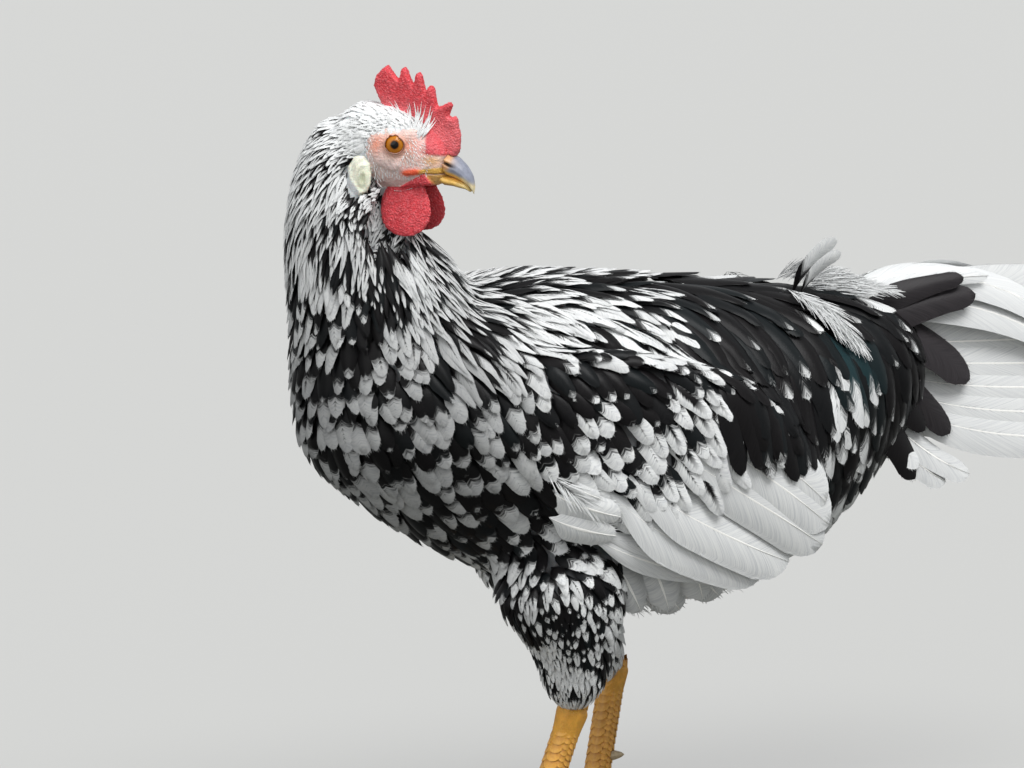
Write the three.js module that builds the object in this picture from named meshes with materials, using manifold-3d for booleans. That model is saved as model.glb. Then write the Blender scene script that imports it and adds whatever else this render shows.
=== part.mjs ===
// A standing chicken at life size: a young single-combed cockerel of the light Mediterranean type,
// mottled black and white, one foot a step ahead, head turned back over its left shoulder.
// Millimetres, +Z up. The bird faces -Y and its left side is +X. The origin is on the floor, under the
// middle of its bounding box. Each solid reaches to the tips of the plumage that covers it.
import * as THREE from "three";
import { mergeVertices } from "three/addons/utils/BufferGeometryUtils.js";
import Module from "manifold-3d";

const wasm = await Module();
wasm.setup();

// ---- Driving dimensions ----
const GAP = 0.3; // clearance between solids that touch
const SIDES = { left: 1, right: -1 };

const TRUNK_FRONT = -160; // y of the breast's foremost point
const TRUNK_LENGTH = 350;
const NECK_SPLIT_HEIGHT = 322; // where the hackle is parted in two lengths

const HEAD_AT = new THREE.Vector3(23, -115, 381.5); // between the eyes
const HEAD_TURN = 39; // degrees, bill direction measured from +X towards +Y
const HEAD_PITCH = 12; // degrees, bill held down from level

const EYE_RADIUS = 6.6;
const EYE_OUT = 10.2; // eye centre's distance from the head's middle plane
const COMB_THICKNESS = 5;
const WATTLE_LENGTH = 30;
const WATTLE_WIDTH = 27;
const WATTLE_THICKNESS = 4;
const WATTLE_TAPER = 0.2; // how much wider it is below its middle than above
const WATTLE_AT = new THREE.Vector3(10.5, 8, -28.5); // its middle, in the head's frame
const LOBE_LENGTH = 19;
const LOBE_WIDTH = 13;
const LOBE_BULGE = 3; // how far it stands out on either face
const LOBE_AT = new THREE.Vector3(-12.8, 16.4, -18);

const SHANK_HALF_WIDTH = 5.8;
const TOE_HALF_WIDTH = 4.4;
const CLAW_LENGTH = 11;
const SOLE_CLIP = 0.9; // how much of each toe's round underside is flat on the floor

const TAIL_PLATE_THICKNESS = 1.8;

// ---- Small tools ----
const deg = THREE.MathUtils.degToRad;
const vec = (x, y, z) => new THREE.Vector3(x, y, z);

/** A smooth curve of numbers through evenly spaced values, read at t from 0 to 1. */
function through(values, t) {
  const last = values.length - 1;
  const at = Math.min(Math.max(t, 0), 1) * last;
  const i = Math.min(Math.floor(at), last - 1);
  const v = (k) => values[Math.min(Math.max(k, 0), last)];
  const f = at - i;
  const a = v(i - 1);
  const b = v(i);
  const c = v(i + 1);
  const d = v(i + 2);
  return b + 0.5 * f * (c - a + f * (2 * a - 5 * b + 4 * c - d + f * (3 * (b - c) + d - a)));
}

/** A closed round form: a sphere's vertices, each moved to place(t, angle), t running from pole to pole. */
function shaped(around, along, place) {
  const sphere = new THREE.SphereGeometry(1, around, along);
  sphere.deleteAttribute("normal");
  sphere.deleteAttribute("uv");
  const g = mergeVertices(sphere, 1e-4);
  const p = g.attributes.position;
  for (let i = 0; i < p.count; i++) {
    const t = Math.acos(THREE.MathUtils.clamp(p.getY(i), -1, 1)) / Math.PI;
    const q = place(t, Math.atan2(p.getZ(i), p.getX(i)));
    p.setXYZ(i, q.x, q.y, q.z);
  }
  return g;
}

/** three.js geometry to a manifold-3d solid, its faces turned outwards. */
function solid(geometry) {
  const bare = geometry.clone();
  bare.deleteAttribute("normal");
  bare.deleteAttribute("uv");
  const merged = mergeVertices(bare, 1e-4);
  const p = merged.attributes.position;
  const triVerts = new Uint32Array(merged.index.array);
  const [a, b, c] = [vec(0, 0, 0), vec(0, 0, 0), vec(0, 0, 0)];
  let volume = 0;
  for (let i = 0; i < triVerts.length; i += 3) {
    a.fromBufferAttribute(p, triVerts[i]);
    b.fromBufferAttribute(p, triVerts[i + 1]);
    c.fromBufferAttribute(p, triVerts[i + 2]);
    volume += a.dot(b.cross(c));
  }
  if (volume < 0)
    for (let i = 0; i < triVerts.length; i += 3)
      [triVerts[i + 1], triVerts[i + 2]] = [triVerts[i + 2], triVerts[i + 1]];
  return new wasm.Manifold(
    new wasm.Mesh({ numProp: 3, vertProperties: new Float32Array(p.array), triVerts }),
  );
}

/** The largest separate body of a solid, so that no loose sliver of a cut is kept. */
function largest(body) {
  return body.decompose().reduce((best, b) => (b.volume() > best.volume() ? b : best));
}

/** What is left of a solid once its neighbours, each already grown by the gap, are cut away. */
function cutBy(body, ...neighbours) {
  return largest(neighbours.reduce((left, n) => left.subtract(n), body));
}

/**
 * A form along a spine: stations give its half-width, its reach up and its reach down from the spine.
 * up(t) is the direction that "up" means at t; grow makes it larger all round, for cutting its neighbours.
 */
function formAlong({ spine, side, above, below, up, around, along }, grow = 0) {
  return shaped(around, along, (t, angle) => {
    const centre = spine.getPoint(t);
    const forward = spine.getTangent(t);
    const sideways = vec(0, 0, 0).crossVectors(forward, up(t)).normalize();
    const upwards = vec(0, 0, 0).crossVectors(sideways, forward);
    const swell = grow * Math.sin(Math.PI * t) ** 0.5;
    const wide = through(side, t) + swell;
    const high = (Math.sin(angle) > 0 ? through(above, t) : through(below, t)) + swell;
    return centre
      .addScaledVector(sideways, wide * Math.cos(angle))
      .addScaledVector(upwards, high * Math.sin(angle))
      .addScaledVector(forward, -grow * Math.cos(Math.PI * t));
  });
}

const alwaysUp = () => vec(0, 0, 1);
const curve = (...points) => new THREE.CatmullRomCurve3(points, false, "centripetal");

// ---- Trunk: breast, back, belly and the saddle's drape ----
// Stations are evenly spaced in t, which crowds them towards the ends so that both close round.
const TRUNK = {
  top: [238, 265, 291, 306, 310, 305, 297, 290, 284, 271, 240],
  bottom: [238, 218, 196, 170, 149, 135, 132, 150, 184, 208, 240],
  side: [0, 31, 53, 66, 73, 76, 74, 64, 46, 27, 0],
};
const KEEL_TAPER = [0.08, 0.1, 0.14, 0.3]; // from front to rear, how much narrower the underside is

function trunkForm(grow = 0) {
  return shaped(24, 17, (t, angle) => {
    const y = TRUNK_FRONT + (TRUNK_LENGTH * (1 - Math.cos(Math.PI * t))) / 2;
    const top = through(TRUNK.top, t);
    const bottom = through(TRUNK.bottom, t);
    const taper = 1 + through(KEEL_TAPER, t) * Math.sin(angle);
    const round = Math.sin(Math.PI * t) ** 0.5;
    return vec(
      (through(TRUNK.side, t) * taper + grow * round) * Math.cos(angle),
      y - grow * Math.cos(Math.PI * t),
      (top + bottom) / 2 + ((top - bottom) / 2 + grow * round) * Math.sin(angle),
    );
  });
}

// ---- Neck: the hackle's outline, from the shoulders to the nape ----
const NECK = {
  spine: curve(
    vec(0, -86, 216),
    vec(0, -94, 234),
    vec(0, -106, 262),
    vec(0, -118, 295),
    vec(0, -127, 320),
    vec(-1, -133, 342),
    vec(-3, -135, 365),
    vec(-1, -132, 384),
    vec(6, -127, 395),
  ),
  side: [0, 50, 58, 47.5, 39.5, 33, 24.5, 16, 0],
  above: [0, 48, 54, 46, 39, 33, 24.5, 16, 0],
  below: [0, 50, 57, 47, 39.5, 33, 24.5, 16, 0],
  up: () => vec(0, 1, 0),
  around: 18,
  along: 15,
};
const neckForm = (grow = 0) => formAlong(NECK, grow);

// ---- Head: its own frame, +X to the bill, +Z to the crown, origin between the eyes ----
const headFrame = new THREE.Matrix4()
  .makeTranslation(HEAD_AT.x, HEAD_AT.y, HEAD_AT.z)
  .multiply(new THREE.Matrix4().makeRotationZ(deg(HEAD_TURN)))
  .multiply(new THREE.Matrix4().makeRotationY(deg(HEAD_PITCH)));

/** A form in the head's frame along +X, from stations of top, bottom and half-width. */
function headSection({ from, to, top, bottom, side, around, along }, grow = 0) {
  return shaped(around, along, (t, angle) => {
    const x = from + ((to - from) * (1 - Math.cos(Math.PI * t))) / 2;
    const [high, low] = [through(top, t), through(bottom, t)];
    const round = Math.sin(Math.PI * t) ** 0.5;
    return vec(
      x - grow * Math.cos(Math.PI * t),
      (through(side, t) + grow * round) * Math.cos(angle),
      (high + low) / 2 + ((high - low) / 2 + grow * round) * Math.sin(angle),
    );
  }).applyMatrix4(headFrame);
}

const HEAD = {
  from: -34,
  to: 26,
  top: [-4, 8.5, 14, 16, 16, 13.5, 9.5, 3.5, -6],
  bottom: [-4, -17, -23, -25, -25, -23, -20, -17, -8],
  side: [0, 12, 16, 17.2, 16.4, 14.2, 11.4, 7.6, 0],
  around: 20,
  along: 14,
};
const headForm = (grow = 0) => headSection(HEAD, grow);

// The upper bill is hooked over the lower one; the mouth line is level in the head's frame.
const UPPER_BILL = {
  from: 13,
  to: 41,
  top: [-6, 0.5, 2, 0.8, -2.6, -8.4, -16],
  bottom: [-11.6, -11.8, -12.2, -12.6, -13, -13.9, -16.4],
  side: [0, 7.4, 7.6, 6.6, 5, 3, 0],
  around: 12,
  along: 9,
};
const LOWER_BILL = {
  from: 10,
  to: 37.2,
  top: [-14, -12.4, -12.7, -13.1, -13.5, -14, -15],
  bottom: [-15, -17.2, -17.6, -17.4, -16.9, -16.1, -15.2],
  side: [0, 6.4, 6.6, 5.8, 4.6, 3, 0],
  around: 12,
  along: 9,
};
const upperBillForm = (grow = 0) => headSection(UPPER_BILL, grow);
const lowerBillForm = (grow = 0) => headSection(LOWER_BILL, grow);

// ---- Comb: one upright blade of six points, free behind the crown ----
// Each point's tip, then the notch in front of it, in the head's frame as [forward, up].
const COMB_POINTS = [
  { tip: [-16, 34.5], notch: [-8.5, 28.5] },
  { tip: [-7, 36], notch: [-0.5, 27.5] },
  { tip: [1, 35.5], notch: [6.5, 25.5] },
  { tip: [8.5, 31], notch: [13.5, 21] },
  { tip: [19.5, 25.5], notch: [20, 18.5] },
  { tip: [23.5, 19.5], notch: [25, 17] },
];
const COMB_TIP_ROUND = 1.5;

function combForm() {
  const outline = new THREE.Shape();
  outline.moveTo(-8, 12);
  outline.quadraticCurveTo(-18, 16, -21, 23);
  outline.quadraticCurveTo(-22, 28.5, -18.5, 31.5);
  for (const { tip, notch } of COMB_POINTS) {
    outline.lineTo(tip[0] - COMB_TIP_ROUND, tip[1] - COMB_TIP_ROUND);
    outline.quadraticCurveTo(tip[0], tip[1] + COMB_TIP_ROUND, tip[0] + COMB_TIP_ROUND, tip[1] - COMB_TIP_ROUND);
    outline.lineTo(notch[0], notch[1]);
  }
  outline.quadraticCurveTo(29, 11, 29, 4);
  outline.quadraticCurveTo(29, -1, 25, -3);
  outline.lineTo(14, -2);
  outline.closePath();
  const bevel = COMB_THICKNESS * 0.3;
  const blade = new THREE.ExtrudeGeometry(outline, {
    depth: COMB_THICKNESS - 2 * bevel,
    bevelThickness: bevel,
    bevelSize: bevel * 0.7,
    bevelOffset: -bevel * 0.7,
    bevelSegments: 1,
    curveSegments: 2,
  });
  blade.translate(0, 0, bevel - COMB_THICKNESS / 2);
  blade.rotateX(Math.PI / 2);
  return blade.applyMatrix4(headFrame);
}

// ---- Wattles, ear lobes and eyes, one of each on either side ----
function wattleForm(side, grow = 0) {
  const half = WATTLE_LENGTH / 2;
  const leaf = shaped(12, 9, (t, angle) => {
    const round = Math.sin(Math.PI * t);
    const wide = WATTLE_WIDTH * 0.5 * round * (1 - WATTLE_TAPER * Math.cos(Math.PI * t)) + grow;
    const thick = (WATTLE_THICKNESS / 2) * round ** 0.7 + grow;
    return vec(wide * Math.cos(angle), thick * Math.sin(angle), (half + grow) * Math.cos(Math.PI * t));
  });
  leaf.rotateX(side * deg(10));
  leaf.rotateY(deg(-HEAD_PITCH));
  leaf.translate(WATTLE_AT.x, side * WATTLE_AT.y, WATTLE_AT.z);
  return leaf.applyMatrix4(headFrame);
}

function lobeForm(side, grow = 0) {
  const disc = shaped(8, 6, (t, angle) => {
    const round = Math.sin(Math.PI * t);
    return vec(
      (LOBE_WIDTH * 0.5 * round + grow) * Math.cos(angle),
      (LOBE_BULGE * round + grow) * Math.sin(angle),
      -(LOBE_LENGTH * 0.5 + grow) * Math.cos(Math.PI * t),
    );
  });
  disc.rotateY(deg(-18));
  disc.rotateZ(side * deg(10));
  disc.translate(LOBE_AT.x, side * LOBE_AT.y, LOBE_AT.z);
  return disc.applyMatrix4(headFrame);
}

function eyeForm(side, grow = 0) {
  return new THREE.SphereGeometry(EYE_RADIUS + grow, 12, 8)
    .translate(0, side * EYE_OUT, 0)
    .applyMatrix4(headFrame);
}

// ---- Wings: folded, the white flight feathers hanging low behind ----
const WING = {
  spine: (side) =>
    curve(
      vec(side * 52, -92, 250),
      vec(side * 62, -68, 247),
      vec(side * 69, -28, 233),
      vec(side * 72, 16, 214),
      vec(side * 71, 52, 197),
      vec(side * 65, 82, 180),
      vec(side * 60, 96, 172),
    ),
  side: [0, 11, 15, 16, 16, 15, 13, 10, 0],
  above: [0, 28, 42, 50, 54, 52, 44, 28, 0],
  below: [0, 28, 40, 46, 48, 44, 34, 20, 0],
};

function wingForm(side, grow = 0) {
  const lean = vec(side * 0.05, 0.25, 1);
  return formAlong(
    { ...WING, spine: WING.spine(side), up: () => lean.clone(), around: 16, along: 12 },
    grow,
  );
}

// ---- Tail: two leaning fans of flight feathers, closed like a tent, and a curved sickle over each ----
const FAN = { root: 146, tip: 322, base: 205, crown: 287, feathers: 7, lean: 0.26 };

function fanForm(side, grow = 0) {
  const outline = new THREE.Shape();
  outline.moveTo(FAN.root, FAN.base + 10);
  outline.lineTo(FAN.root + 60, FAN.base - 8);
  outline.lineTo(FAN.tip - 30, FAN.base - 8);
  const rise = (FAN.crown - FAN.base - 4) / FAN.feathers;
  for (let i = 0; i < FAN.feathers; i++) {
    const low = FAN.base - 8 + i * rise;
    const reach = FAN.tip - 26 + 26 * Math.sin((Math.PI * (i + 1.5)) / (FAN.feathers + 2));
    outline.quadraticCurveTo(reach + 6, low + rise * 0.35, reach, low + rise);
  }
  outline.quadraticCurveTo(FAN.tip - 60, FAN.crown + 2, FAN.root + 70, FAN.crown);
  outline.lineTo(FAN.root, FAN.crown - 14);
  outline.closePath();
  const plate = new THREE.ExtrudeGeometry(outline, {
    depth: TAIL_PLATE_THICKNESS + 2 * grow,
    bevelEnabled: false,
    curveSegments: 2,
  });
  // The outline is drawn in (y, z): its plane is stood up, then leant outwards towards the floor.
  const lean = side * FAN.lean;
  plate.applyMatrix4(
    new THREE.Matrix4().set(0, -lean, side, 0, 1, 0, 0, 0, 0, 1, 0, 0, 0, 0, 0, 1),
  );
  const inner = side * (0.5 - grow);
  return plate.translate(lean * (FAN.crown + 8) + inner, 0, 0);
}

const SICKLE = {
  spine: (side) =>
    curve(
      vec(side * 9, 152, 268),
      vec(side * 12, 186, 282),
      vec(side * 15, 222, 284),
      vec(side * 18, 262, 272),
      vec(side * 21, 298, 247),
      vec(side * 23, 325, 212),
      vec(side * 24, 333, 192),
    ),
  side: [0, 1.2, 1.3, 1.3, 1.3, 1.3, 1.2, 1, 0],
  above: [0, 7, 10, 11, 11, 11, 10, 8, 0],
  below: [0, 7, 10, 11, 11, 11, 10, 8, 0],
};
const sickleForm = (side) =>
  formAlong({ ...SICKLE, spine: SICKLE.spine(side), up: alwaysUp, around: 6, along: 12 });

// ---- Legs: the left foot is a step ahead of the right ----
const LEGS = {
  left: {
    knee: vec(46, -50, 186),
    thigh: vec(44, -37, 150),
    calf: vec(40, -30, 119),
    cuff: vec(36, -29, 88),
    hock: vec(36, -26.5, 94),
    lean: 19,
  },
  right: {
    knee: vec(-47, -22, 186),
    thigh: vec(-45, 0, 150),
    calf: vec(-42, 20, 115),
    cuff: vec(-38, 33, 76),
    hock: vec(-38, 37, 92),
    lean: 11.5,
  },
};
const ANKLE_HEIGHT = 11;
const FOOT_INSET = 4; // how much nearer the middle each foot stands than its hock

/** Where the shank meets the toes: straight down the shank from the hock, to the ankle's height. */
function ankleOf({ hock, lean }) {
  const drop = hock.z - ANKLE_HEIGHT;
  return vec(hock.x - Math.sign(hock.x) * FOOT_INSET, hock.y - drop * Math.tan(deg(lean)), ANKLE_HEIGHT);
}

const thighForm = (leg, grow = 0) =>
  formAlong(
    {
      spine: curve(leg.knee, leg.thigh, leg.calf, leg.cuff),
      side: [0, 26, 31, 30, 27, 23.5, 20.5, 17.5, 13.5, 0],
      above: [0, 30, 36, 34, 29, 24, 20.5, 17.5, 14, 0],
      below: [0, 30, 36, 34, 29, 24, 20.5, 17.5, 14, 0],
      up: () => vec(0, 1, 0),
      around: 14,
      along: 11,
    },
    grow,
  );

function shankForm(leg, grow = 0) {
  const ankle = ankleOf(leg);
  const direction = ankle.clone().sub(leg.hock).normalize();
  const w = SHANK_HALF_WIDTH;
  return formAlong(
    {
      spine: curve(
        leg.hock.clone().addScaledVector(direction, -8),
        leg.hock.clone().lerp(ankle, 0.5),
        ankle.clone().addScaledVector(direction, 4),
      ),
      side: [0, w * 1.35, w * 1.1, w, w, w, w, w * 1.1, w * 1.3, 0],
      above: [0, w * 1.4, w * 1.3, w * 1.2, w * 1.15, w * 1.15, w * 1.15, w * 1.2, w * 1.2, 0],
      below: [0, w * 1.5, w * 1.3, w * 1.15, w * 1.1, w * 1.1, w * 1.1, w * 1.2, w * 1.2, 0],
      up: () => vec(0, 1, 0),
      around: 8,
      along: 8,
    },
    grow,
  );
}

// Toes: heading in degrees outwards from straight ahead, and length from the ankle to the claw's root.
const TOES = {
  inner: { heading: -36, length: 42, thick: 0.92 },
  middle: { heading: -2, length: 60, thick: 1 },
  outer: { heading: 33, length: 46, thick: 0.92 },
  hind: { heading: 188, length: 27, thick: 0.82 },
};

/** A toe's direction on the floor, for a leg on the given side. */
function toeHeading(toe, side) {
  const a = deg(toe.heading);
  return vec(side * Math.sin(a), -Math.cos(a), 0);
}

function toeForm(leg, side, toe, grow = 0) {
  const ankle = ankleOf(leg);
  const ahead = toeHeading(toe, side);
  const w = TOE_HALF_WIDTH * toe.thick;
  const low = w - SOLE_CLIP;
  const at = (share, z) => ankle.clone().addScaledVector(ahead, toe.length * share).setZ(z);
  return formAlong(
    {
      spine: curve(at(0, ANKLE_HEIGHT - 1), at(0.25, low + 1.6), at(0.5, low), at(0.8, low), at(1, low)),
      side: [0, w * 1.1, w * 1.02, w * 1.05, w * 0.92, w * 1, w * 0.86, w * 0.9, w * 0.72, 0],
      above: [0, w * 1.1, w * 1.05, w, w * 0.95, w * 0.95, w * 0.85, w * 0.8, w * 0.66, 0],
      below: [0, w, w, w, w, w, w, w, w, 0],
      up: alwaysUp,
      around: 8,
      along: 7,
    },
    grow,
  );
}

function clawForm(leg, side, toe) {
  const ankle = ankleOf(leg);
  const ahead = toeHeading(toe, side);
  const root = TOE_HALF_WIDTH * toe.thick - SOLE_CLIP;
  const at = (out, z) => ankle.clone().addScaledVector(ahead, toe.length + out).setZ(z);
  return formAlong({
    // it curves down to the floor, where its tip rests and helps to hold the bird up
    spine: curve(at(-4, root + 0.4), at(CLAW_LENGTH * 0.35, root + 0.4), at(CLAW_LENGTH * 0.75, 0.7), at(CLAW_LENGTH, 0.2)),
    side: [0, 1.9, 1.9, 1.6, 1.2, 0.8, 0],
    above: [0, 2, 2, 1.7, 1.3, 0.8, 0],
    below: [0, 1.9, 1.8, 1.5, 1.1, 0.7, 0],
    up: alwaysUp,
    around: 6,
    along: 5,
  });
}

/** The small spur of a young cock, on the inner back of the shank. */
function spurForm(leg, side) {
  const ankle = ankleOf(leg);
  const root = leg.hock.clone().lerp(ankle, 0.62);
  const out = vec(-side * 0.55, 0.8, 0.1).normalize();
  return formAlong({
    spine: curve(root.clone().addScaledVector(out, 3), root.clone().addScaledVector(out, 8), root.clone().addScaledVector(out, 13.5)),
    side: [0, 3, 3, 2.4, 1.6, 0],
    above: [0, 3, 3, 2.4, 1.6, 0],
    below: [0, 3, 3, 2.4, 1.6, 0],
    up: alwaysUp,
    around: 6,
    along: 5,
  });
}

// ---- Materials ----
const finish = (color, roughness) => new THREE.MeshStandardMaterial({ color, roughness, metalness: 0 });
const MATERIALS = {
  plumage: finish(0x8c8c8a, 0.75),
  whitePlumage: finish(0xe6e3da, 0.75),
  skin: finish(0xd9a394, 0.6),
  comb: finish(0xcf2f3b, 0.55),
  lobe: finish(0xe6e8c4, 0.6),
  eye: finish(0xb5641c, 0.15),
  bill: finish(0xd9b04a, 0.45),
  scale: finish(0xdc9426, 0.5),
  claw: finish(0xc9a878, 0.45),
};

// ---- Assembly: each solid is cut by the neighbours that it grows from ----
const bird = new THREE.Group();

function add(name, body, material) {
  const mesh = body.getMesh();
  const g = new THREE.BufferGeometry()
    .setAttribute("position", new THREE.BufferAttribute(new Float32Array(mesh.vertProperties), 3))
    .setIndex(new THREE.BufferAttribute(new Uint32Array(mesh.triVerts), 1));
  const part = new THREE.Mesh(g, material);
  part.name = name;
  bird.add(part);
}

/** A box from one corner to the other, used only to cut. */
function block(low, high) {
  const size = high.clone().sub(low);
  const middle = low.clone().add(high).multiplyScalar(0.5);
  return solid(new THREE.BoxGeometry(size.x, size.y, size.z).translate(middle.x, middle.y, middle.z));
}
const FAR = 500;
const belowFloor = block(vec(-FAR, -FAR, -FAR), vec(FAR, FAR, 0));
const neckAbove = block(vec(-FAR, -FAR, NECK_SPLIT_HEIGHT - GAP / 2), vec(FAR, FAR, FAR));
const neckBelow = block(vec(-FAR, -FAR, -FAR), vec(FAR, FAR, NECK_SPLIT_HEIGHT + GAP / 2));

const trunk = solid(trunkForm());
const trunkCut = solid(trunkForm(GAP));
const neckCut = solid(neckForm(GAP));
const headCut = solid(headForm(GAP));
const upperBillCut = solid(upperBillForm(GAP));
const lowerBillCut = solid(lowerBillForm(GAP));
const bothSides = (form) => Object.values(SIDES).map((side) => solid(form(side, GAP)));
const neck = cutBy(solid(neckForm()), trunkCut, headCut, ...bothSides(wattleForm), ...bothSides(lobeForm));

add("trunk", trunk, MATERIALS.plumage);
add("neck_lower", cutBy(neck, neckAbove), MATERIALS.plumage);
add("neck_upper", cutBy(neck, neckBelow), MATERIALS.plumage);
add("head", cutBy(solid(headForm()), ...bothSides(eyeForm)), MATERIALS.skin);
add("bill_upper", cutBy(solid(upperBillForm()), headCut), MATERIALS.bill);
add("bill_lower", cutBy(solid(lowerBillForm()), headCut, upperBillCut), MATERIALS.bill);
add("comb", cutBy(solid(combForm()), headCut, upperBillCut), MATERIALS.comb);

for (const [sideName, side] of Object.entries(SIDES)) {
  const leg = LEGS[sideName];
  const thighCut = solid(thighForm(leg, GAP));
  const shankCut = solid(shankForm(leg, GAP));

  add(`eye_${sideName}`, solid(eyeForm(side)), MATERIALS.eye);
  add(`ear_lobe_${sideName}`, cutBy(solid(lobeForm(side)), headCut), MATERIALS.lobe);
  add(`wattle_${sideName}`, cutBy(solid(wattleForm(side)), headCut, lowerBillCut, upperBillCut), MATERIALS.comb);
  add(`wing_${sideName}`, cutBy(solid(wingForm(side)), trunkCut, neckCut, thighCut), MATERIALS.whitePlumage);
  add(`thigh_${sideName}`, cutBy(solid(thighForm(leg)), trunkCut), MATERIALS.plumage);
  add(`shank_${sideName}`, cutBy(solid(shankForm(leg)), thighCut), MATERIALS.scale);
  add(`spur_${sideName}`, cutBy(solid(spurForm(leg, side)), shankCut), MATERIALS.claw);

  const before = [shankCut];
  for (const [toeName, toe] of Object.entries(TOES)) {
    add(`toe_${sideName}_${toeName}`, cutBy(solid(toeForm(leg, side, toe)), belowFloor, ...before), MATERIALS.scale);
    const toeCut = solid(toeForm(leg, side, toe, GAP));
    add(`claw_${sideName}_${toeName}`, cutBy(solid(clawForm(leg, side, toe)), toeCut, belowFloor), MATERIALS.claw);
    before.push(toeCut);
  }

  add(`tail_fan_${sideName}`, cutBy(solid(fanForm(side)), trunkCut), MATERIALS.whitePlumage);
  add(`sickle_${sideName}`, cutBy(solid(sickleForm(side)), trunkCut, solid(fanForm(side, GAP))), MATERIALS.whitePlumage);
}

// ---- The origin goes under the middle of the bird ----
const bounds = new THREE.Box3().setFromObject(bird);
const middle = bounds.getCenter(vec(0, 0, 0));
bird.position.set(-middle.x, -middle.y, -bounds.min.z);

export default bird;
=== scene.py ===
import math

import bmesh
import bpy
import numpy as np
from mathutils import Matrix, Vector, noise
from mathutils.bvhtree import BVHTree


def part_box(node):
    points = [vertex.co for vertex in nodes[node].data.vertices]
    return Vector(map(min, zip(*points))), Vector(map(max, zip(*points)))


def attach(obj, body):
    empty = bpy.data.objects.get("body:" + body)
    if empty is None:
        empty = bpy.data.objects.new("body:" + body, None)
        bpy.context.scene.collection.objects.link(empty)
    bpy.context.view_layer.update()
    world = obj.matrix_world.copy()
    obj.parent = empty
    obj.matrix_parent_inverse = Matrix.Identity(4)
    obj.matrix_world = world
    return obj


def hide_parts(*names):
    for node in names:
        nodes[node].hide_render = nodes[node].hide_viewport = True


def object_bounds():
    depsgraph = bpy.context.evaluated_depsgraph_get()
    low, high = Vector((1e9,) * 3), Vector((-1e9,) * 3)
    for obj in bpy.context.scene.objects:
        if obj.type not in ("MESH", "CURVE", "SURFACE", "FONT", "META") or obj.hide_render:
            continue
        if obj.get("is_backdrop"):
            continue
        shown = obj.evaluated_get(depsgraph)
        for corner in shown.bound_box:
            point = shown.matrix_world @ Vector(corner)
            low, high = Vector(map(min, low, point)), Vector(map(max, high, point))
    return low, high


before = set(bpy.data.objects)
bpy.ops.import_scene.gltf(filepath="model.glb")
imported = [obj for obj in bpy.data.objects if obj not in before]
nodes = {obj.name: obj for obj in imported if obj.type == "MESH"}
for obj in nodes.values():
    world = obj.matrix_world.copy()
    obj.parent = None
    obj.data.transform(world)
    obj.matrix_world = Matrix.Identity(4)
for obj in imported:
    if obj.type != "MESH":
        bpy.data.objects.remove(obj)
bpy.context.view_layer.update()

# ---------------------------------------------------------------------------
# The studio: a pale floor, a soft lamp above the bird's near side, and even light from all round.
# Places are in the bird's own frame, in millimetres: it faces -Y, +X is its left, and the floor
# is z = 0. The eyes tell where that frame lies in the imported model.
EYES_MIDDLE = Vector((23, -115, 381.5))
eye_corners = [corner for side in ("left", "right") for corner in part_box("eye_" + side)]
origin = sum(eye_corners, Vector()) / 4 - EYES_MIDDLE / 1000

CAMERA_TARGET = Vector((0, -43.7, 251.3))
CAMERA_TURN, CAMERA_RISE, CAMERA_DISTANCE, CAMERA_LENS = 62, 11, 2600, 182.8


def linear(code):
    """An sRGB colour in hex, as the linear numbers that a shader takes."""
    parts = [int(code[i : i + 2], 16) / 255 for i in (0, 2, 4)]
    return [p / 12.92 if p <= 0.04045 else ((p + 0.055) / 1.055) ** 2.4 for p in parts] + [1.0]


def add(tree, kind, inputs=None, **settings):
    """Adds a shader node with its settings, and sets or links its inputs."""
    node = tree.nodes.new("ShaderNode" + kind)
    for key, value in settings.items():
        setattr(node, key, value)
    for key, value in (inputs or {}).items():
        if isinstance(value, bpy.types.NodeSocket):
            tree.links.new(value, node.inputs[key])
        else:
            node.inputs[key].default_value = value
    return node


def material(name):
    """A new material, its node tree and its main shader."""
    made = bpy.data.materials.new(name)
    made.use_nodes = True
    return made, made.node_tree, made.node_tree.nodes["Principled BSDF"]


turn, rise = math.radians(CAMERA_TURN), math.radians(CAMERA_RISE)
away = Vector((math.sin(turn) * math.cos(rise), -math.cos(turn) * math.cos(rise), math.sin(rise)))
camera = bpy.data.objects.new("camera", bpy.data.cameras.new("camera"))
bpy.context.scene.collection.objects.link(camera)
camera.data.lens = CAMERA_LENS
camera.data.sensor_width = 36
camera.data.clip_start, camera.data.clip_end = 0.05, 50
camera.location = origin + (CAMERA_TARGET + away * CAMERA_DISTANCE) / 1000
camera.rotation_euler = away.to_track_quat("Z", "Y").to_euler()
bpy.context.scene.camera = camera
bpy.context.scene.view_settings.view_transform = "Standard"

bpy.ops.object.select_all(action="DESELECT")
bpy.ops.mesh.primitive_grid_add(x_subdivisions=8, y_subdivisions=8, size=30, location=(0, 0, 0))
floor = bpy.context.object
floor.name = "floor"
floor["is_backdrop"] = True
# Matt studio board: even, with the slightest mottle, and it takes the bird's shadow.
board, tree, shader = material("studio_board")
mottle = add(tree, "TexNoise", {"Scale": 3.0, "Detail": 2.0})
tint = add(tree, "ValToRGB", {"Fac": mottle.outputs["Fac"]})
tint.color_ramp.elements[0].color = linear("6f706c")
tint.color_ramp.elements[1].color = linear("757672")
tree.links.new(tint.outputs["Color"], shader.inputs["Base Color"])
shader.inputs["Roughness"].default_value = 0.9
glow = add(tree, "Math", {0: add(tree, "LightPath").outputs["Is Camera Ray"], 1: 0.42},
           operation="MULTIPLY")
shader.inputs["Emission Color"].default_value = (1, 1, 1, 1)
tree.links.new(glow.outputs[0], shader.inputs["Emission Strength"])
floor.data.materials.append(board)

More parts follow.
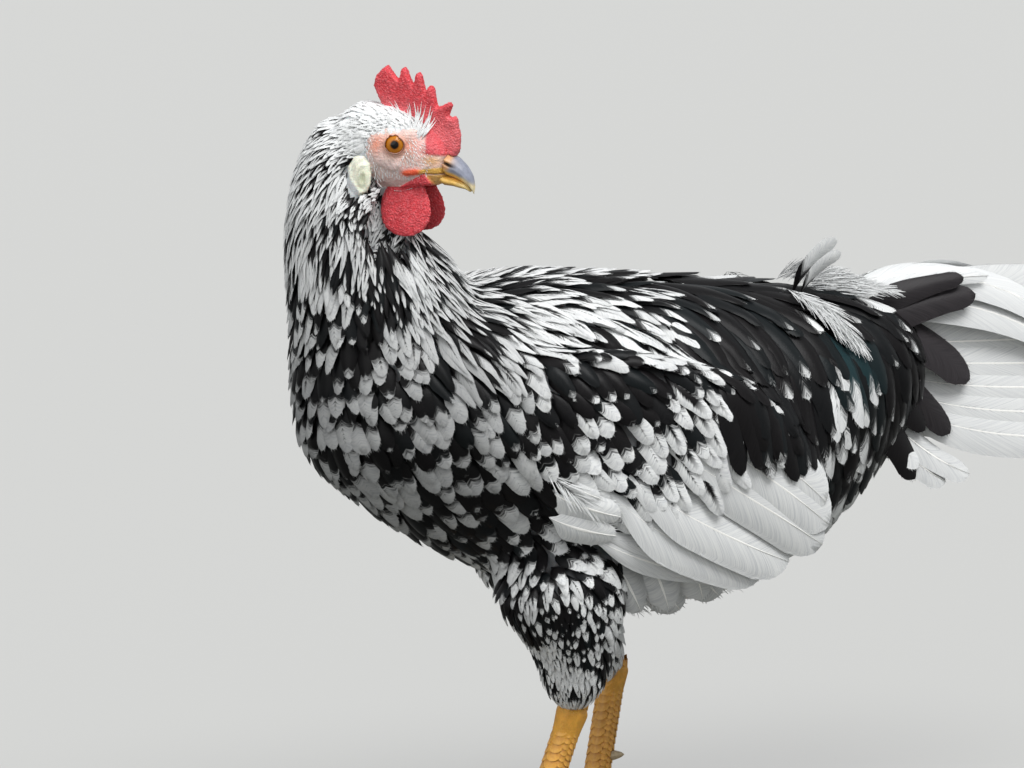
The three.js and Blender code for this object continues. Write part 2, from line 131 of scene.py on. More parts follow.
world = bpy.data.worlds.new("studio")
bpy.context.scene.world = world
world.use_nodes = True
tree = world.node_tree
path = add(tree, "LightPath")
seen = add(tree, "Math", {0: path.outputs["Is Camera Ray"], 1: path.outputs["Is Glossy Ray"]},
           operation="MAXIMUM")
seen = add(tree, "Math", {0: seen.outputs[0], 1: path.outputs["Is Transmission Ray"]},
           operation="MAXIMUM")
soft = add(tree, "Background", {"Color": linear("f4f6fa"), "Strength": 0.6})
pale = add(tree, "Background", {"Color": linear("eceef0"), "Strength": 0.62})
both = add(tree, "MixShader", {0: seen.outputs[0], 1: soft.outputs[0], 2: pale.outputs[0]})
tree.links.new(both.outputs[0], tree.nodes["World Output"].inputs["Surface"])

for lamp_name, strength, spread, aim in (
    ("key", 2.35, 35, Vector((0.62, 0.12, 1.15))),
    ("fill", 0.75, 60, Vector((0.5, -0.9, 0.7))),
):
    lamp = bpy.data.objects.new(lamp_name, bpy.data.lights.new(lamp_name, "SUN"))
    bpy.context.scene.collection.objects.link(lamp)
    lamp.data.energy = strength
    lamp.data.angle = math.radians(spread)
    lamp.rotation_euler = aim.to_track_quat("Z", "Y").to_euler()

# ---------------------------------------------------------------------------
# The skin under the coat: one piece from the comb to the toes, as on the bird itself. It is made
# from the solids of flesh, joined and smoothed, and it lies inside their outline by the depth of
# the plumage, down to nothing on comb, wattles, lobes, face, shanks and toes.
PLUMED = ["head", "neck_upper", "neck_lower", "trunk", "wing_left", "wing_right",
          "thigh_left", "thigh_right"]
BARE = ["comb", "wattle_left", "wattle_right", "ear_lobe_left", "ear_lobe_right",
        "shank_left", "shank_right"] + [
    f"toe_{side}_{toe}" for side in ("left", "right") for toe in ("inner", "middle", "outer", "hind")]
COAT_DEPTH = {"head": 1.3, "neck": 8.0, "trunk": 7.5, "wing": 6.0, "thigh": 6.0}  # mm
CRISP = ["comb", "wattle_left", "wattle_right", "ear_lobe_left", "ear_lobe_right"]
GAP_CLOSING = 0.2  # mm, half of what parts two solids
FLESH_VOXEL = 1.2  # mm
SKIN_VOXEL = 0.75  # mm
SKIN_SHARE = 0.14  # of the faces, kept in all when the hidden ones are thinned


def points(piece):
    """A piece's points in the bird's frame, in mm."""
    co = np.empty(len(piece.data.vertices) * 3)
    piece.data.vertices.foreach_get("co", co)
    return (co.reshape(-1, 3) - np.array(origin)) * 1000


def set_points(piece, co):
    piece.data.vertices.foreach_set("co", (co / 1000 + np.array(origin)).ravel())
    piece.data.update()


def outward(piece):
    """The normals at a piece's points."""
    co = np.empty(len(piece.data.vertices) * 3)
    piece.data.vertex_normals.foreach_get("vector", co)
    return co.reshape(-1, 3)


def joined(name, members, grown=0.0, more=None):
    """The copies of some solids in one mesh, their double points merged, grown by some mm."""
    whole = bmesh.new()
    if more:
        whole.from_mesh(more)
    for member in members:
        part = bmesh.new()
        part.from_mesh(nodes[member].data)
        bmesh.ops.remove_doubles(part, verts=part.verts, dist=1e-6)
        part.normal_update()
        for v in part.verts:
            v.co += v.normal * grown / 1000
        copy = bpy.data.meshes.new("part")
        part.to_mesh(copy)
        part.free()
        whole.from_mesh(copy)
        bpy.data.meshes.remove(copy)
    mesh = bpy.data.meshes.new(name)
    whole.to_mesh(mesh)
    whole.free()
    piece = bpy.data.objects.new(name, mesh)
    bpy.context.scene.collection.objects.link(piece)
    return piece


def shaped(piece, kind, **settings):
    """Adds a modifier with its settings and applies it."""
    bpy.ops.object.select_all(action="DESELECT")
    piece.select_set(True)
    bpy.context.view_layer.objects.active = piece
    modifier = piece.modifiers.new(kind.title(), kind)
    for key, value in settings.items():
        setattr(modifier, key, value)
    bpy.ops.object.modifier_apply(modifier=modifier.name)


def keep_largest(piece):
    """Drops the small blobs that a remesh leaves in the gaps."""
    count = len(piece.data.vertices)
    edges = np.empty(len(piece.data.edges) * 2, int)
    piece.data.edges.foreach_get("vertices", edges)
    a, b = edges.reshape(-1, 2).T
    island = np.arange(count)
    while True:
        low = np.minimum(island[a], island[b])
        before = island.copy()
        np.minimum.at(island, a, low)
        np.minimum.at(island, b, low)
        island = island[island]
        if (island == before).all():
            break
    main = np.bincount(island).argmax()
    bm = bmesh.new()
    bm.from_mesh(piece.data)
    bm.verts.ensure_lookup_table()
    bmesh.ops.delete(bm, geom=[bm.verts[i] for i in np.flatnonzero(island != main)], context="VERTS")
    bm.to_mesh(piece.data)
    bm.free()


def solid_tree(members):
    """A search tree over some solids, and the kind (head, neck, trunk and so on) of each face."""
    corners, faces, owner = [], [], []
    for member in members:
        mesh = nodes[member].data
        start = len(corners)
        corners += [v.co.copy() for v in mesh.vertices]
        faces += [[start + i for i in p.vertices] for p in mesh.polygons]
        owner += [member.split("_")[0]] * len(mesh.polygons)
    return BVHTree.FromPolygons(corners, faces), owner


every_solid, crisp_solid = solid_tree(PLUMED + BARE), solid_tree(CRISP)
CRISP_REACH = 0.0007  # m


def nearest_kind(co):
    """The kind of solid that each point lies nearest to; comb, wattles and lobes come first."""
    out = []
    for p in (co / 1000 + np.array(origin)).tolist():
        search, owner = crisp_solid
        face = search.find_nearest(p, CRISP_REACH)[2]
        if face is None:
            search, owner = every_solid
            face = search.find_nearest(p)[2]
        out.append(owner[face])
    return np.array(out)


def spread_out(piece, values, rounds):
    """Values at a piece's points, blurred over the mesh."""
    edges = np.empty(len(piece.data.edges) * 2, int)
    piece.data.edges.foreach_get("vertices", edges)
    a, b = edges.reshape(-1, 2).T
    count = np.bincount(a, minlength=len(values)) + np.bincount(b, minlength=len(values)) + 1.0
    for _ in range(rounds):
        total = values + np.bincount(a, values[b], len(values)) + np.bincount(b, values[a], len(values))
        values = total / count
    return values


def ramp(x, low, high):
    """0 below low, 1 above high, and smooth between."""
    t = np.clip((x - low) / (high - low), 0, 1)
    return t * t * (3 - 2 * t)


# The head has a frame of its own: +X to the bill, +Y its left, +Z its crown.
HEAD_AXES = np.array(Matrix.Rotation(math.radians(39), 3, "Z") @ Matrix.Rotation(math.radians(12), 3, "Y"))
HEAD_AT = np.array(EYES_MIDDLE)


def in_head(co):
    return (co - HEAD_AT) @ HEAD_AXES


def from_head(co):
    return np.asarray(co) @ HEAD_AXES.T + HEAD_AT


# The bare face's edge, x and z on the head's side: brow, ear, throat, wattle, bill.
FACE = np.array([(-13.3, 1.7), (-8.5, -13.6), (-6.2, -24.5), (0.4, -25), (4.7, -21), (16.5, -20), (26, -20),
                 (26, 6), (14.6, 12.5), (8, 9.5), (2.5, 8.1), (-5.2, 6.3)])


def face_gap(near):
    """How far each place of the head lies outside the bare face, in mm; below zero within it."""
    p = near[:, None, [0, 2]]
    a, along = FACE, np.roll(FACE, -1, axis=0) - FACE
    t = np.clip(((p - a) * along).sum(2) / (along**2).sum(1), 0, 1)
    gap = np.linalg.norm(p - a - t[..., None] * along, axis=2).min(1)
    crossed = (a[:, 1] > p[..., 1]) != (a[:, 1] + along[:, 1] > p[..., 1])
    meets = a[:, 0] + (p[..., 1] - a[:, 1]) * along[:, 0] / np.where(along[:, 1] == 0, 1, along[:, 1])
    inside = (crossed & (p[..., 0] < meets)).sum(1) % 2 == 1
    x, z = p[:, 0].T
    waver = 0.6 * np.sin(x * 1.3 + z * 0.9) + 0.5 * np.sin(x * 0.8 - z * 2.1)
    return np.where(inside, -gap, gap) + waver


# The flesh first, sunk by the coat's depth; comb, wattles and lobes join it afterwards, crisp.
flesh = joined("flesh", PLUMED + [name for name in BARE if name not in CRISP], GAP_CLOSING)
shaped(flesh, "REMESH", mode="VOXEL", voxel_size=FLESH_VOXEL / 1000)
keep_largest(flesh)
shaped(flesh, "SMOOTH", factor=0.5, iterations=4)
co = points(flesh)
kind = nearest_kind(co)
depth = np.zeros(len(co))
for part_kind, amount in COAT_DEPTH.items():
    depth[kind == part_kind] = amount
depth *= ramp(face_gap(in_head(co)), -1, 1.5) ** (kind == "head")
# it stands higher round the ear lobes, and the throat is narrow behind the wattles
near = in_head(co)
lobe_far = np.hypot((near[:, 0] + 12.8) / 6.7, (near[:, 2] + 18.2) / 8.9)
depth *= np.where((near[:, 0] > -34) & (np.abs(near[:, 1]) > 9), 0.45 + 0.55 * ramp(lobe_far, 1.0, 1.9), 1)
depth = spread_out(flesh, depth, 4)
depth[~np.isin(kind, list(COAT_DEPTH))] *= 0.3
co -= outward(flesh) * depth[:, None]
near = in_head(co)
narrow = ramp(near[:, 0], -10, -3) * (1 - ramp(near[:, 0], 26, 34)) * ramp(-near[:, 2], 19, 27) * (
    1 - ramp(-near[:, 2], 50, 62))
near[:, 1] -= np.sign(near[:, 1]) * np.clip(np.abs(near[:, 1]) - 6.5, 0, None) * narrow * 0.85
set_points(flesh, from_head(near))
skin = joined("skin", CRISP, GAP_CLOSING, flesh.data)
bpy.data.objects.remove(flesh)
shaped(skin, "REMESH", mode="VOXEL", voxel_size=SKIN_VOXEL / 1000)
keep_largest(skin)
shaped(skin, "SMOOTH", factor=0.5, iterations=2)
kind = nearest_kind(points(skin))
hidden = skin.vertex_groups.new(name="hidden")
hidden.add(np.flatnonzero(np.isin(kind, ["neck", "trunk", "wing", "thigh"])).tolist(), 1.0, "REPLACE")
shaped(skin, "DECIMATE", ratio=SKIN_SHARE, vertex_group="hidden")

# The head's faces are halved once, so that lids, folds and beads have points to lie on.
bm = bmesh.new()
bm.from_mesh(skin.data)
near = in_head(points(skin))
fine = np.isin(nearest_kind(points(skin)), ["head", "comb", "wattle", "ear"]) & (near[:, 0] > -24)
bm.verts.ensure_lookup_table()
chosen = [e for e in bm.edges if fine[e.verts[0].index] and fine[e.verts[1].index]]
bmesh.ops.subdivide_edges(bm, edges=chosen, cuts=1, use_grid_fill=True, smooth=0.6)
bm.to_mesh(skin.data)
bm.free()
kind = nearest_kind(points(skin))
bare_face = (kind == "head") * (1 - ramp(face_gap(in_head(points(skin))), -0.5, 1.0))

# ---------------------------------------------------------------------------
# The head's own forms: round lids close about each globe, with fine rings of creased skin, a
# swollen corner at the gape, a cupped ear lobe, and beads all over the comb and wattles.
EYE_RADIUS, EYE_OUT = 6.6, 10.2
EYE_AXIS = {"right": np.array((0.288, -0.94, 0.18)), "left": np.array((0.288, 0.94, 0.18))}
OPENING = (39.0, 33.0, 37.0)  # degrees from the globe's axis to the lids: sideways, up, down
co = points(skin)
near = in_head(co)
lid_edge = np.zeros(len(co))
rings = np.full(len(co), 9.0)
for side, axis in EYE_AXIS.items():
    middle = np.array((0, EYE_OUT if side == "left" else -EYE_OUT, 0))
    axis = axis / np.linalg.norm(axis)
    level = np.cross(axis, (0, 0, 1))
    level /= np.linalg.norm(level)
    upright = np.cross(level, axis)
    upright *= np.sign(upright[2])
    off = near - middle
    reach = np.linalg.norm(off, axis=1)
    way = off / reach[:, None]
    wide, high = way @ level * EYE_RADIUS, way @ upright * EYE_RADIUS
    facing = (way @ axis > -0.15) & np.isin(kind, ["head"]) & (reach < 13)
    # the socket's rim, 60 degrees from the axis, is drawn in over the globe to the lids' edge
    angle = np.degrees(np.arccos(np.clip(way @ axis, -1, 1)))
    turn = np.arctan2(high, wide)
    edge = 1 / np.hypot(np.cos(turn) / OPENING[0], np.sin(turn) / np.where(high > 0, OPENING[1], OPENING[2]))
    pulled = np.where(angle < 84, np.clip(edge + (angle - 60) * (84 - edge) / 24, edge * 0.97, 84), angle)
    across = way - (way @ axis)[:, None] * axis
    across /= np.linalg.norm(across, axis=1)[:, None] + 1e-9
    new_way = (np.cos(np.radians(pulled))[:, None] * axis + np.sin(np.radians(pulled))[:, None] * across)
    ring = np.where(facing, pulled / edge, 9.0)
    outer = ramp(reach, 6.9, 7.3)
    close = (1 - ramp(ring, 1.25, 2.1)) * outer
    rim = EYE_RADIUS + 0.95 - 0.45 * ramp(ring, 1.1, 1.6)
    crease = 0.15 * np.sin(ring * 26 + 3 * wide) * ramp(ring, 1.1, 1.3) * (1 - ramp(ring, 1.8, 2.4)) * outer
    far = np.where(outer > 0, reach + (rim - reach) * close + crease, np.minimum(reach, 6.72))
    near = np.where((facing & (angle < 84))[:, None], middle + new_way * far[:, None], near)
    lid_edge = np.maximum(lid_edge, (1 - ramp(np.abs(ring - 1.0), 0.04, 0.10)) * facing)
    rings = np.minimum(rings, ring)

on_head = kind == "head"
side_out = np.abs(near[:, 1])
normal = outward(skin) @ HEAD_AXES
# the chin rises to the bill, and the cheek hangs over into each wattle
chin = ramp(near[:, 0], 6, 18) * (on_head & (near[:, 2] < -10))
near[:, 2] += (-10 - near[:, 2]) * 0.3 * chin
wattle_root = on_head * ramp(-9.6 - 0.9 * np.abs(near[:, 0] - 17.3) - near[:, 2], -0.6, 0.6) * (
    1 - ramp(near[:, 0], 21, 23)) * ramp(near[:, 0], -2, 1) * ramp(side_out, 2, 4)
near[:, 1] += np.sign(near[:, 1]) * wattle_root * np.clip(11.2 - side_out, 0, 5) * 0.9
comb_foot = on_head * ramp(near[:, 2], -0.6, 0.8) * ramp(
    near[:, 0] - 12.4 - 0.4 * (10.9 - near[:, 2]), -0.8, 0.6)
# the seam between comb and head is smoothed away
seam = np.exp(-((near[:, 0] - 16.5) / 3.5) ** 2) * ramp(near[:, 2], -0.5, 1.5)
seam *= (1 - ramp(near[:, 2], 13, 17)) * (np.isin(kind, ["comb", "head"]) & (side_out > 1.0))
melted = np.stack([spread_out(skin, near[:, k], 14) for k in range(3)], 1)
near += (melted - near) * seam[:, None]
thick_foot = (kind == "comb") * ramp(near[:, 0], 4, 10) * (
    1 - ramp(near[:, 2] - 12 + 0.55 * (near[:, 0] - 10), 0, 7))
near[:, 1] *= 1 + 0.35 * thick_foot
gape_line = near[:, 2] + 11.4 - 0.2 * (near[:, 0] - 9)
off_gape = near[:, 2] + 11.7 - 0.33 * (near[:, 0] - 7.6)
gape = on_head * np.exp(-((near[:, 0] - 12) / 5.0) ** 4 - (off_gape / 1.7) ** 2)
near += normal * (1.2 * gape + 0.7 * comb_foot)[:, None]
mouth = on_head * np.exp(-((gape_line + 0.4) / 0.35) ** 2) * ramp(near[:, 0], 15, 18)
near -= normal * (0.6 * mouth)[:, None]
# A lobe is a cushion with a hollow toward the face and a rolled rear edge.
LOBE = np.array((-11.6, 17.4, -18.2))
lobe = kind == "ear"
lobe_off = np.stack([near[:, 0] - LOBE[0], side_out - LOBE[1], near[:, 2] - LOBE[2]], 1)
hollow = np.exp(-((lobe_off[:, 0] - 1.4) / 2.8) ** 2 - ((lobe_off[:, 2] + 1.0) / 4.8) ** 2)
fold = np.sin(np.hypot((lobe_off[:, 0] - 1.4) / 4.0, (lobe_off[:, 2] + 0.6) / 7.0) * 11)
near[:, 1] -= np.sign(near[:, 1]) * lobe * (1.1 * hollow + 0.16 * fold)
red = np.maximum(np.isin(kind, ["comb", "wattle"]), np.maximum(comb_foot, wattle_root))
bead = np.zeros(len(co))
for i in np.flatnonzero(red > 0.1):
    gaps = noise.voronoi(Vector(near[i]) / 1.25)[0]
    bead[i] = 1 - min(gaps[0] * 1.7, 1.0)
near += normal * (0.34 * (bead - 0.4) * red)[:, None]
wrinkle = np.zeros(len(co))
for i in np.flatnonzero((kind == "head") & (bare_face > 0.1)):
    wrinkle[i] = noise.noise(Vector((near[i][0] * 0.5, near[i][1] * 0.5, near[i][2] * 1.3))) * 0.8
    wrinkle[i] += noise.noise(Vector(near[i]) * 1.6) * 0.4
near += normal * (0.3 * wrinkle * bare_face * ramp(rings, 1.1, 1.5) * (1 - red))[:, None]
set_points(skin, from_head(near))

# Living skin: a satin, slightly translucent hide. Its colours lie on the points: red on comb and
# wattles, flushed pink on the face, cream on the lobes, yellow on the legs.
near = in_head(points(skin))
tone = np.zeros((len(co), 3))


def paint(mask, code):
    """Lays a colour over the tones, as strongly as the mask says."""
    weight = np.clip(mask, 0, 1)[:, None]
    tone[:] = tone * (1 - weight) + np.array(linear(code)[:3]) * weight


def blob(x, z, wide, high):
    """1 at a place on the head's side, fading over so many mm."""
    return np.exp(-((near[:, 0] - x) / wide) ** 2 - ((near[:, 2] - z) / high) ** 2)


paint(on_head, "ecd3cb")
paint(bare_face, "efd0c6")
paint(bare_face * np.exp(-((rings - 1.25) / 0.3) ** 2) * 0.6, "e3a184")
paint(bare_face * blob(-7.5, -1, 3, 5) * 0.85, "ee9577")
paint(bare_face * blob(8.5, 1.5, 3.5, 3) * 0.85, "e58a6c")
paint(bare_face * blob(14.0, 3.0, 4.5, 7) * 0.6, "f3b3ae")
paint(bare_face * ramp(-near[:, 2], 5, 10) * 0.75, "dcc3bd")
paint(on_head * blob(20, -3.0, 4.0, 2.6) * 0.9, "e8b27c")
paint(on_head * blob(17.5, 0.6, 3.5, 1.1) * 0.9, "cf4a42")
horny = on_head * ramp(near[:, 0], 11, 15) * ramp(gape_line, -0.8, -0.2)
paint(horny * (1 - ramp(gape_line, 1.2 + 0.1 * (near[:, 0] - 12), 2.0 + 0.12 * (near[:, 0] - 12))), "f2bf5c")
paint(on_head * ramp(near[:, 0], 17.5, 19.5) * ramp(-gape_line, 0.5, 1.2), "e3b266")
paint(lid_edge * 0.75, "7a4a30")
paint(red, "e0434c")
paint((kind == "comb") * (1 - ramp(near[:, 2], 12, 24)) * 0.5, "f08286")
paint(comb_foot * 0.25, "f08286")
# the beads' tops are painted paler pink, as painted highlights
paint(red * bead * 0.6, "f5848a")
paint(gape * (1 - ramp(near[:, 0], 13, 18)) * 1.5, "f26440")
# the crease of the mouth line is painted dark brown, as painted shade
paint(mouth * 0.8, "7a3f22")
paint(lobe, "fbfbe6")
# the lobe's hollow is painted darker and greener, as painted shade
paint(lobe * hollow * 0.8, "d6dab6")
legs = np.isin(kind, ["shank", "toe"])
paint(legs, "e0a23c")
skin.data.color_attributes.new("tone", "FLOAT_COLOR", "POINT")
beading = skin.data.attributes.new("beading", "FLOAT", "POINT")
beading.data.foreach_set("value", red + gape * 0.3)
skin.data.shade_smooth()

MIX_BY, MIX_A, MIX_B, MIXED = 0, 6, 7, 2  # a Mix node's sockets for its share and its colours
hide, tree, shader = material("living_skin")
place = add(tree, "TexCoord").outputs["Object"]
laid = add(tree, "Attribute", attribute_name="tone").outputs["Color"]
beaded = add(tree, "Attribute", attribute_name="beading").outputs["Fac"]
flush = add(tree, "TexNoise", {"Vector": place, "Scale": 260.0, "Detail": 3.0})  # patches of 4 mm
shade = add(tree, "MapRange", {0: flush.outputs["Fac"], 1: 0.3, 2: 0.7, 3: 0.84, 4: 1.1})
varied = add(tree, "Mix", {MIX_BY: 1.0, MIX_A: laid, MIX_B: shade.outputs[0]}, data_type="RGBA",
             blend_type="MULTIPLY")
tree.links.new(varied.outputs[MIXED], shader.inputs["Base Color"])
pore = add(tree, "TexVoronoi", {"Vector": place, "Scale": 1150.0})  # beads 0.9 mm apart
grain = add(tree, "TexNoise", {"Vector": place, "Scale": 1400.0, "Detail": 4.0})  # pores of 0.7 mm
height = add(tree, "Math", {0: pore.outputs["Distance"], 1: beaded}, operation="MULTIPLY")
height = add(tree, "Math", {0: height.outputs[0], 1: -1.0, 2: grain.outputs["Fac"]},
             operation="MULTIPLY_ADD")
bump = add(tree, "Bump", {"Strength": 0.8, "Distance": 0.0005, "Height": height.outputs[0]})
tree.links.new(bump.outputs[0], shader.inputs["Normal"])
shader.inputs["Roughness"].default_value = 0.5
shader.inputs["Subsurface Weight"].default_value = 0.12
shader.inputs["Subsurface Radius"].default_value = (0.004, 0.0014, 0.0009)
shader.inputs["Subsurface Scale"].default_value = 0.4
skin.data.materials.append(hide)
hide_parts(*PLUMED, *BARE)
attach(skin, "root")
print("skin", sum(len(p.vertices) - 2 for p in skin.data.polygons), "triangles before its thinning")

# ---------------------------------------------------------------------------
# The lay of the coat. Contour feathers sprout in tracts and lie backward like tiles. This table
# tells, place by place, where they point, how long and broad they are, how close they stand, how
# pointed they are, and how they are marked. What lies between takes the nearest places' mean.
# Rows: place, direction, length, width, spacing (mm), pointed, white share, streak.
BODY_LAY = [
    # hackle, long and narrow down the neck
    ((15, -152, 364), (0.0, -0.35, -0.93), 24, 4.6, 3.2, 1.0, 0.78, 0.75),
    ((13, -161, 340), (0.0, -0.12, -0.98), 26, 4.8, 3.4, 1.0, 0.66, 0.75),
    ((28, -147, 341), (0.10, -0.02, -0.99), 24, 4.8, 3.4, 0.9, 0.55, 0.6),
    ((36, -124, 331), (0.27, 0.30, -0.91), 26, 5.0, 3.6, 0.9, 0.60, 0.6),
    ((0, -108, 335), (0.0, 0.45, -0.89), 30, 5.4, 3.9, 1.0, 0.68, 0.7),
    ((21, -92, 322), (0.25, 0.70, -0.66), 34, 5.8, 4.3, 1.0, 0.66, 0.7),
    ((30, -76, 301), (0.45, 0.62, -0.64), 36, 6.6, 5.0, 1.0, 0.60, 0.6),
    ((46, -92, 296), (0.30, 0.50, -0.81), 34, 6.8, 5.2, 0.9, 0.52, 0.5),
    # front of the neck and breast, small and round, growing downward
    ((24, -156, 307), (0.05, 0.05, -1.0), 20, 8.8, 5.8, 0.4, 0.42, 0.12),
    ((0, -163, 300), (0.0, 0.02, -1.0), 20, 8.8, 5.8, 0.4, 0.42, 0.12),
    ((42, -138, 284), (0.12, 0.22, -0.96), 21, 10.2, 6.6, 0.3, 0.36, 0.1),
    ((10, -161, 266), (0.0, 0.12, -0.99), 22, 11.0, 7.0, 0.2, 0.3, 0.05),
    ((32, -150, 239), (0.05, 0.50, -0.86), 23, 12.2, 7.4, 0.1, 0.24, 0.0),
    ((56, -118, 250), (0.06, 0.44, -0.90), 23, 12.0, 7.3, 0.2, 0.3, 0.0),
    ((20, -123, 200), (0.0, 0.72, -0.70), 24, 13, 7.8, 0.1, 0.2, 0.0),
    ((59, -93, 218), (-0.05, 0.66, -0.75), 24, 12.6, 7.8, 0.1, 0.2, 0.0),
    ((20, -70, 158), (0.0, 0.93, -0.36), 22, 10, 7, 0.1, 0.2, 0.0),
    # belly and vent, loose and pale
    ((18, -25, 136), (0.0, 1.0, -0.12), 28, 16, 8.5, 0.1, 0.75, 0.0),
    ((18, 25, 138), (0.0, 0.99, 0.15), 30, 18, 9, 0.1, 1.05, 0.0),
    ((44, 13, 156), (-0.10, 0.80, -0.55), 28, 18, 9, 0.1, 1.05, 0.0),
    ((26, 80, 165), (0.0, 0.88, 0.45), 30, 16, 9, 0.1, 1.0, 0.0),
    ((16, 140, 205), (0.0, 0.80, 0.58), 32, 15, 9.0, 0.2, 0.85, 0.0),
    # shoulder and wing
    ((62, -80, 262), (0.15, 0.45, -0.88), 24, 10.4, 6.9, 0.4, 0.42, 0.12),
    ((71, -55, 276), (0.16, 0.50, -0.85), 26, 10.4, 7.0, 0.4, 0.5, 0.12),
    ((82, -38, 256), (0.05, 0.52, -0.85), 23, 11, 7.4, 0.1, 0.08, 0.0),
    ((78, -58, 228), (0.05, 0.60, -0.80), 23, 11, 7.4, 0.1, 0.08, 0.0),
    ((83, -38, 236), (0.05, 0.50, -0.87), 23, 11, 7.4, 0.1, 0.08, 0.0),
    ((84, -20, 246), (0.05, 0.50, -0.87), 25, 11, 7.6, 0.2, 0.14, 0.0),
    ((76, -50, 200), (0.0, 0.80, -0.60), 25, 11, 7.6, 0.2, 0.14, 0.0),
    ((85, -18, 216), (0.0, 0.55, -0.84), 30, 12, 8.0, 0.3, 0.25, 0.15),
    ((86, 2, 233), (0.0, 0.50, -0.87), 34, 12, 8.2, 0.4, 0.08, 0.3),
    ((87, 8, 212), (0.0, 0.58, -0.81), 36, 13, 8.4, 0.4, 0.80, 0.5),
    ((85, 8, 254), (0.05, 0.52, -0.85), 30, 11, 7.8, 0.4, 0.22, 0.3),
    ((86, 26, 240), (0.0, 0.50, -0.86), 38, 13, 8.4, 0.5, 0.72, 0.6),
    ((80, 48, 216), (0.0, 0.60, -0.80), 38, 14, 9.0, 0.4, 1.1, 0.1),
    ((78, -14, 274), (0.20, 0.62, -0.75), 28, 10.5, 7.4, 0.4, 0.36, 0.2),
    # back and the root of the tail
    ((12, -55, 311), (0.12, 0.95, -0.30), 28, 7.2, 5.2, 0.9, 0.62, 0.6),
    ((30, -35, 304), (0.40, 0.78, -0.48), 30, 8.0, 5.8, 0.8, 0.42, 0.5),
    ((39, -26, 298), (0.48, 0.60, -0.64), 32, 9.0, 6.4, 0.7, 0.66, 0.4),
    ((52, -22, 288), (0.44, 0.56, -0.70), 32, 9.6, 6.8, 0.6, 0.60, 0.2),
    ((30, 1, 300), (0.40, 0.75, -0.52), 32, 8.4, 6.2, 0.8, 0.22, 0.3),
    ((0, 20, 300), (0.0, 1.0, -0.12), 32, 8, 6, 0.8, 0.22, 0.5),
    ((50, 2, 288), (0.48, 0.52, -0.70), 34, 9.6, 6.8, 0.6, 0.70, 0.2),
    ((60, 30, 277), (0.46, 0.46, -0.76), 36, 10, 7.2, 0.6, 0.60, 0.3),
    ((64, 8, 280), (0.40, 0.50, -0.77), 32, 10, 7.2, 0.6, 0.75, 0.2),
    ((0, 100, 291), (0.0, 0.98, -0.20), 40, 10, 7.4, 0.7, 0.15, 0.17),
    ((56, 138, 225), (0.0, 0.30, -0.95), 40, 12, 8, 0.4, 0.1, 0.1),
    ((56, 112, 194), (0.0, 0.40, -0.92), 36, 14, 8.5, 0.4, -0.1, 0.1),
    ((44, 134, 200), (0.0, 0.50, -0.86), 36, 14, 8.5, 0.4, -0.1, 0.1),
    ((20, 165, 270), (0.20, 0.80, -0.55), 44, 13, 8.5, 0.4, 0.05, 0.1),
    # thighs, close and small, closest at the hock
    ((73, -50, 146), (-0.20, 0.16, -0.95), 14, 4.9, 3.7, 0.6, 0.24, 0.3),
    ((64, -66, 155), (-0.05, 0.35, -0.92), 15, 5.4, 3.9, 0.6, 0.2, 0.3),
    ((30, -40, 130), (0.10, 0.20, -0.97), 14, 4.9, 3.9, 0.6, 0.22, 0.3),
    ((45, -32, 105), (0.0, 0.0, -1.0), 11, 3.6, 3.0, 0.7, 0.42, 0.4),
    ((48, 0, 150), (0.0, 0.45, -0.89), 15, 5.6, 4.3, 0.6, 0.34, 0.3),
    ((42, 18, 112), (0.0, 0.15, -0.99), 11, 3.6, 3.0, 0.7, 0.42, 0.4),
]
# The same for the head, in its own frame, on its right side.
HEAD_LAY = [
    ((-17, -4, 15), (-0.95, 0.0, -0.20), 9.5, 4.2, 2.2, 0.4, 0.95, 0.1),
    ((-2, -9, 11), (-0.95, -0.1, -0.10), 6.5, 3.2, 1.6, 0.4, 1.10, 0.0),
    ((9, -8, 9), (-0.60, 0.0, 0.75), 4.0, 1.2, 1.1, 0.9, 1.15, 0.0),
    ((-14, -15, 6), (-0.93, -0.1, -0.35), 8.5, 3.6, 2.0, 0.4, 0.98, 0.1),
    ((-15, -17, -4), (-0.85, -0.1, -0.50), 8.5, 3.4, 1.6, 0.6, 1.20, 0.0),
    ((-9, -16, 3), (-0.90, -0.1, -0.40), 5.5, 2.4, 1.4, 0.6, 1.15, 0.0),
    ((0, -13, -24), (-0.80, 0.0, -0.60), 5.0, 1.8, 1.3, 0.8, 1.0, 0.0),
    ((-8, -12, -28), (-0.60, 0.0, -0.80), 8.0, 3.0, 1.9, 0.6, 0.80, 0.2),
    ((6, -6, -25), (-0.60, 0.0, -0.80), 4.0, 1.8, 1.4, 0.6, 0.90, 0.2),
    ((-29, -9, 6), (-0.70, -0.1, -0.70), 15, 4.4, 2.6, 0.7, 0.74, 0.4),
    ((-30, -8, -12), (-0.45, -0.1, -0.88), 18, 4.6, 2.9, 0.8, 0.72, 0.6),
    ((-22, -16, -20), (-0.35, -0.1, -0.93), 17, 4.4, 2.7, 0.8, 0.80, 0.5),
    ((-8, -14, -29), (-0.45, -0.1, -0.89), 9, 3.6, 2.0, 0.6, 0.85, 0.2),
    ((-6, -13, -36), (-0.30, -0.1, -0.95), 11, 3.8, 2.2, 0.6, 0.80, 0.3),
    ((-5, -13, -44), (-0.20, 0.0, -0.98), 13, 4.0, 2.4, 0.7, 0.70, 0.4),
    ((8, -11, -50), (0.05, 0.0, -1.0), 14, 4.2, 2.6, 0.8, 0.70, 0.4),
]


def both_sides(rows):
    """A table of the lay with the rows of the bird's left side mirrored to its right."""
    table = [[row[0][0] * mirror, *row[0][1:], row[1][0] * mirror, *row[1][1:], *row[2:]]
             for row in rows for mirror in (1, -1) if mirror > 0 or row[0][0]]
    table = np.array(table)
    table[:, 3:6] /= np.linalg.norm(table[:, 3:6], axis=1)[:, None]
    return table


lay = both_sides(BODY_LAY)
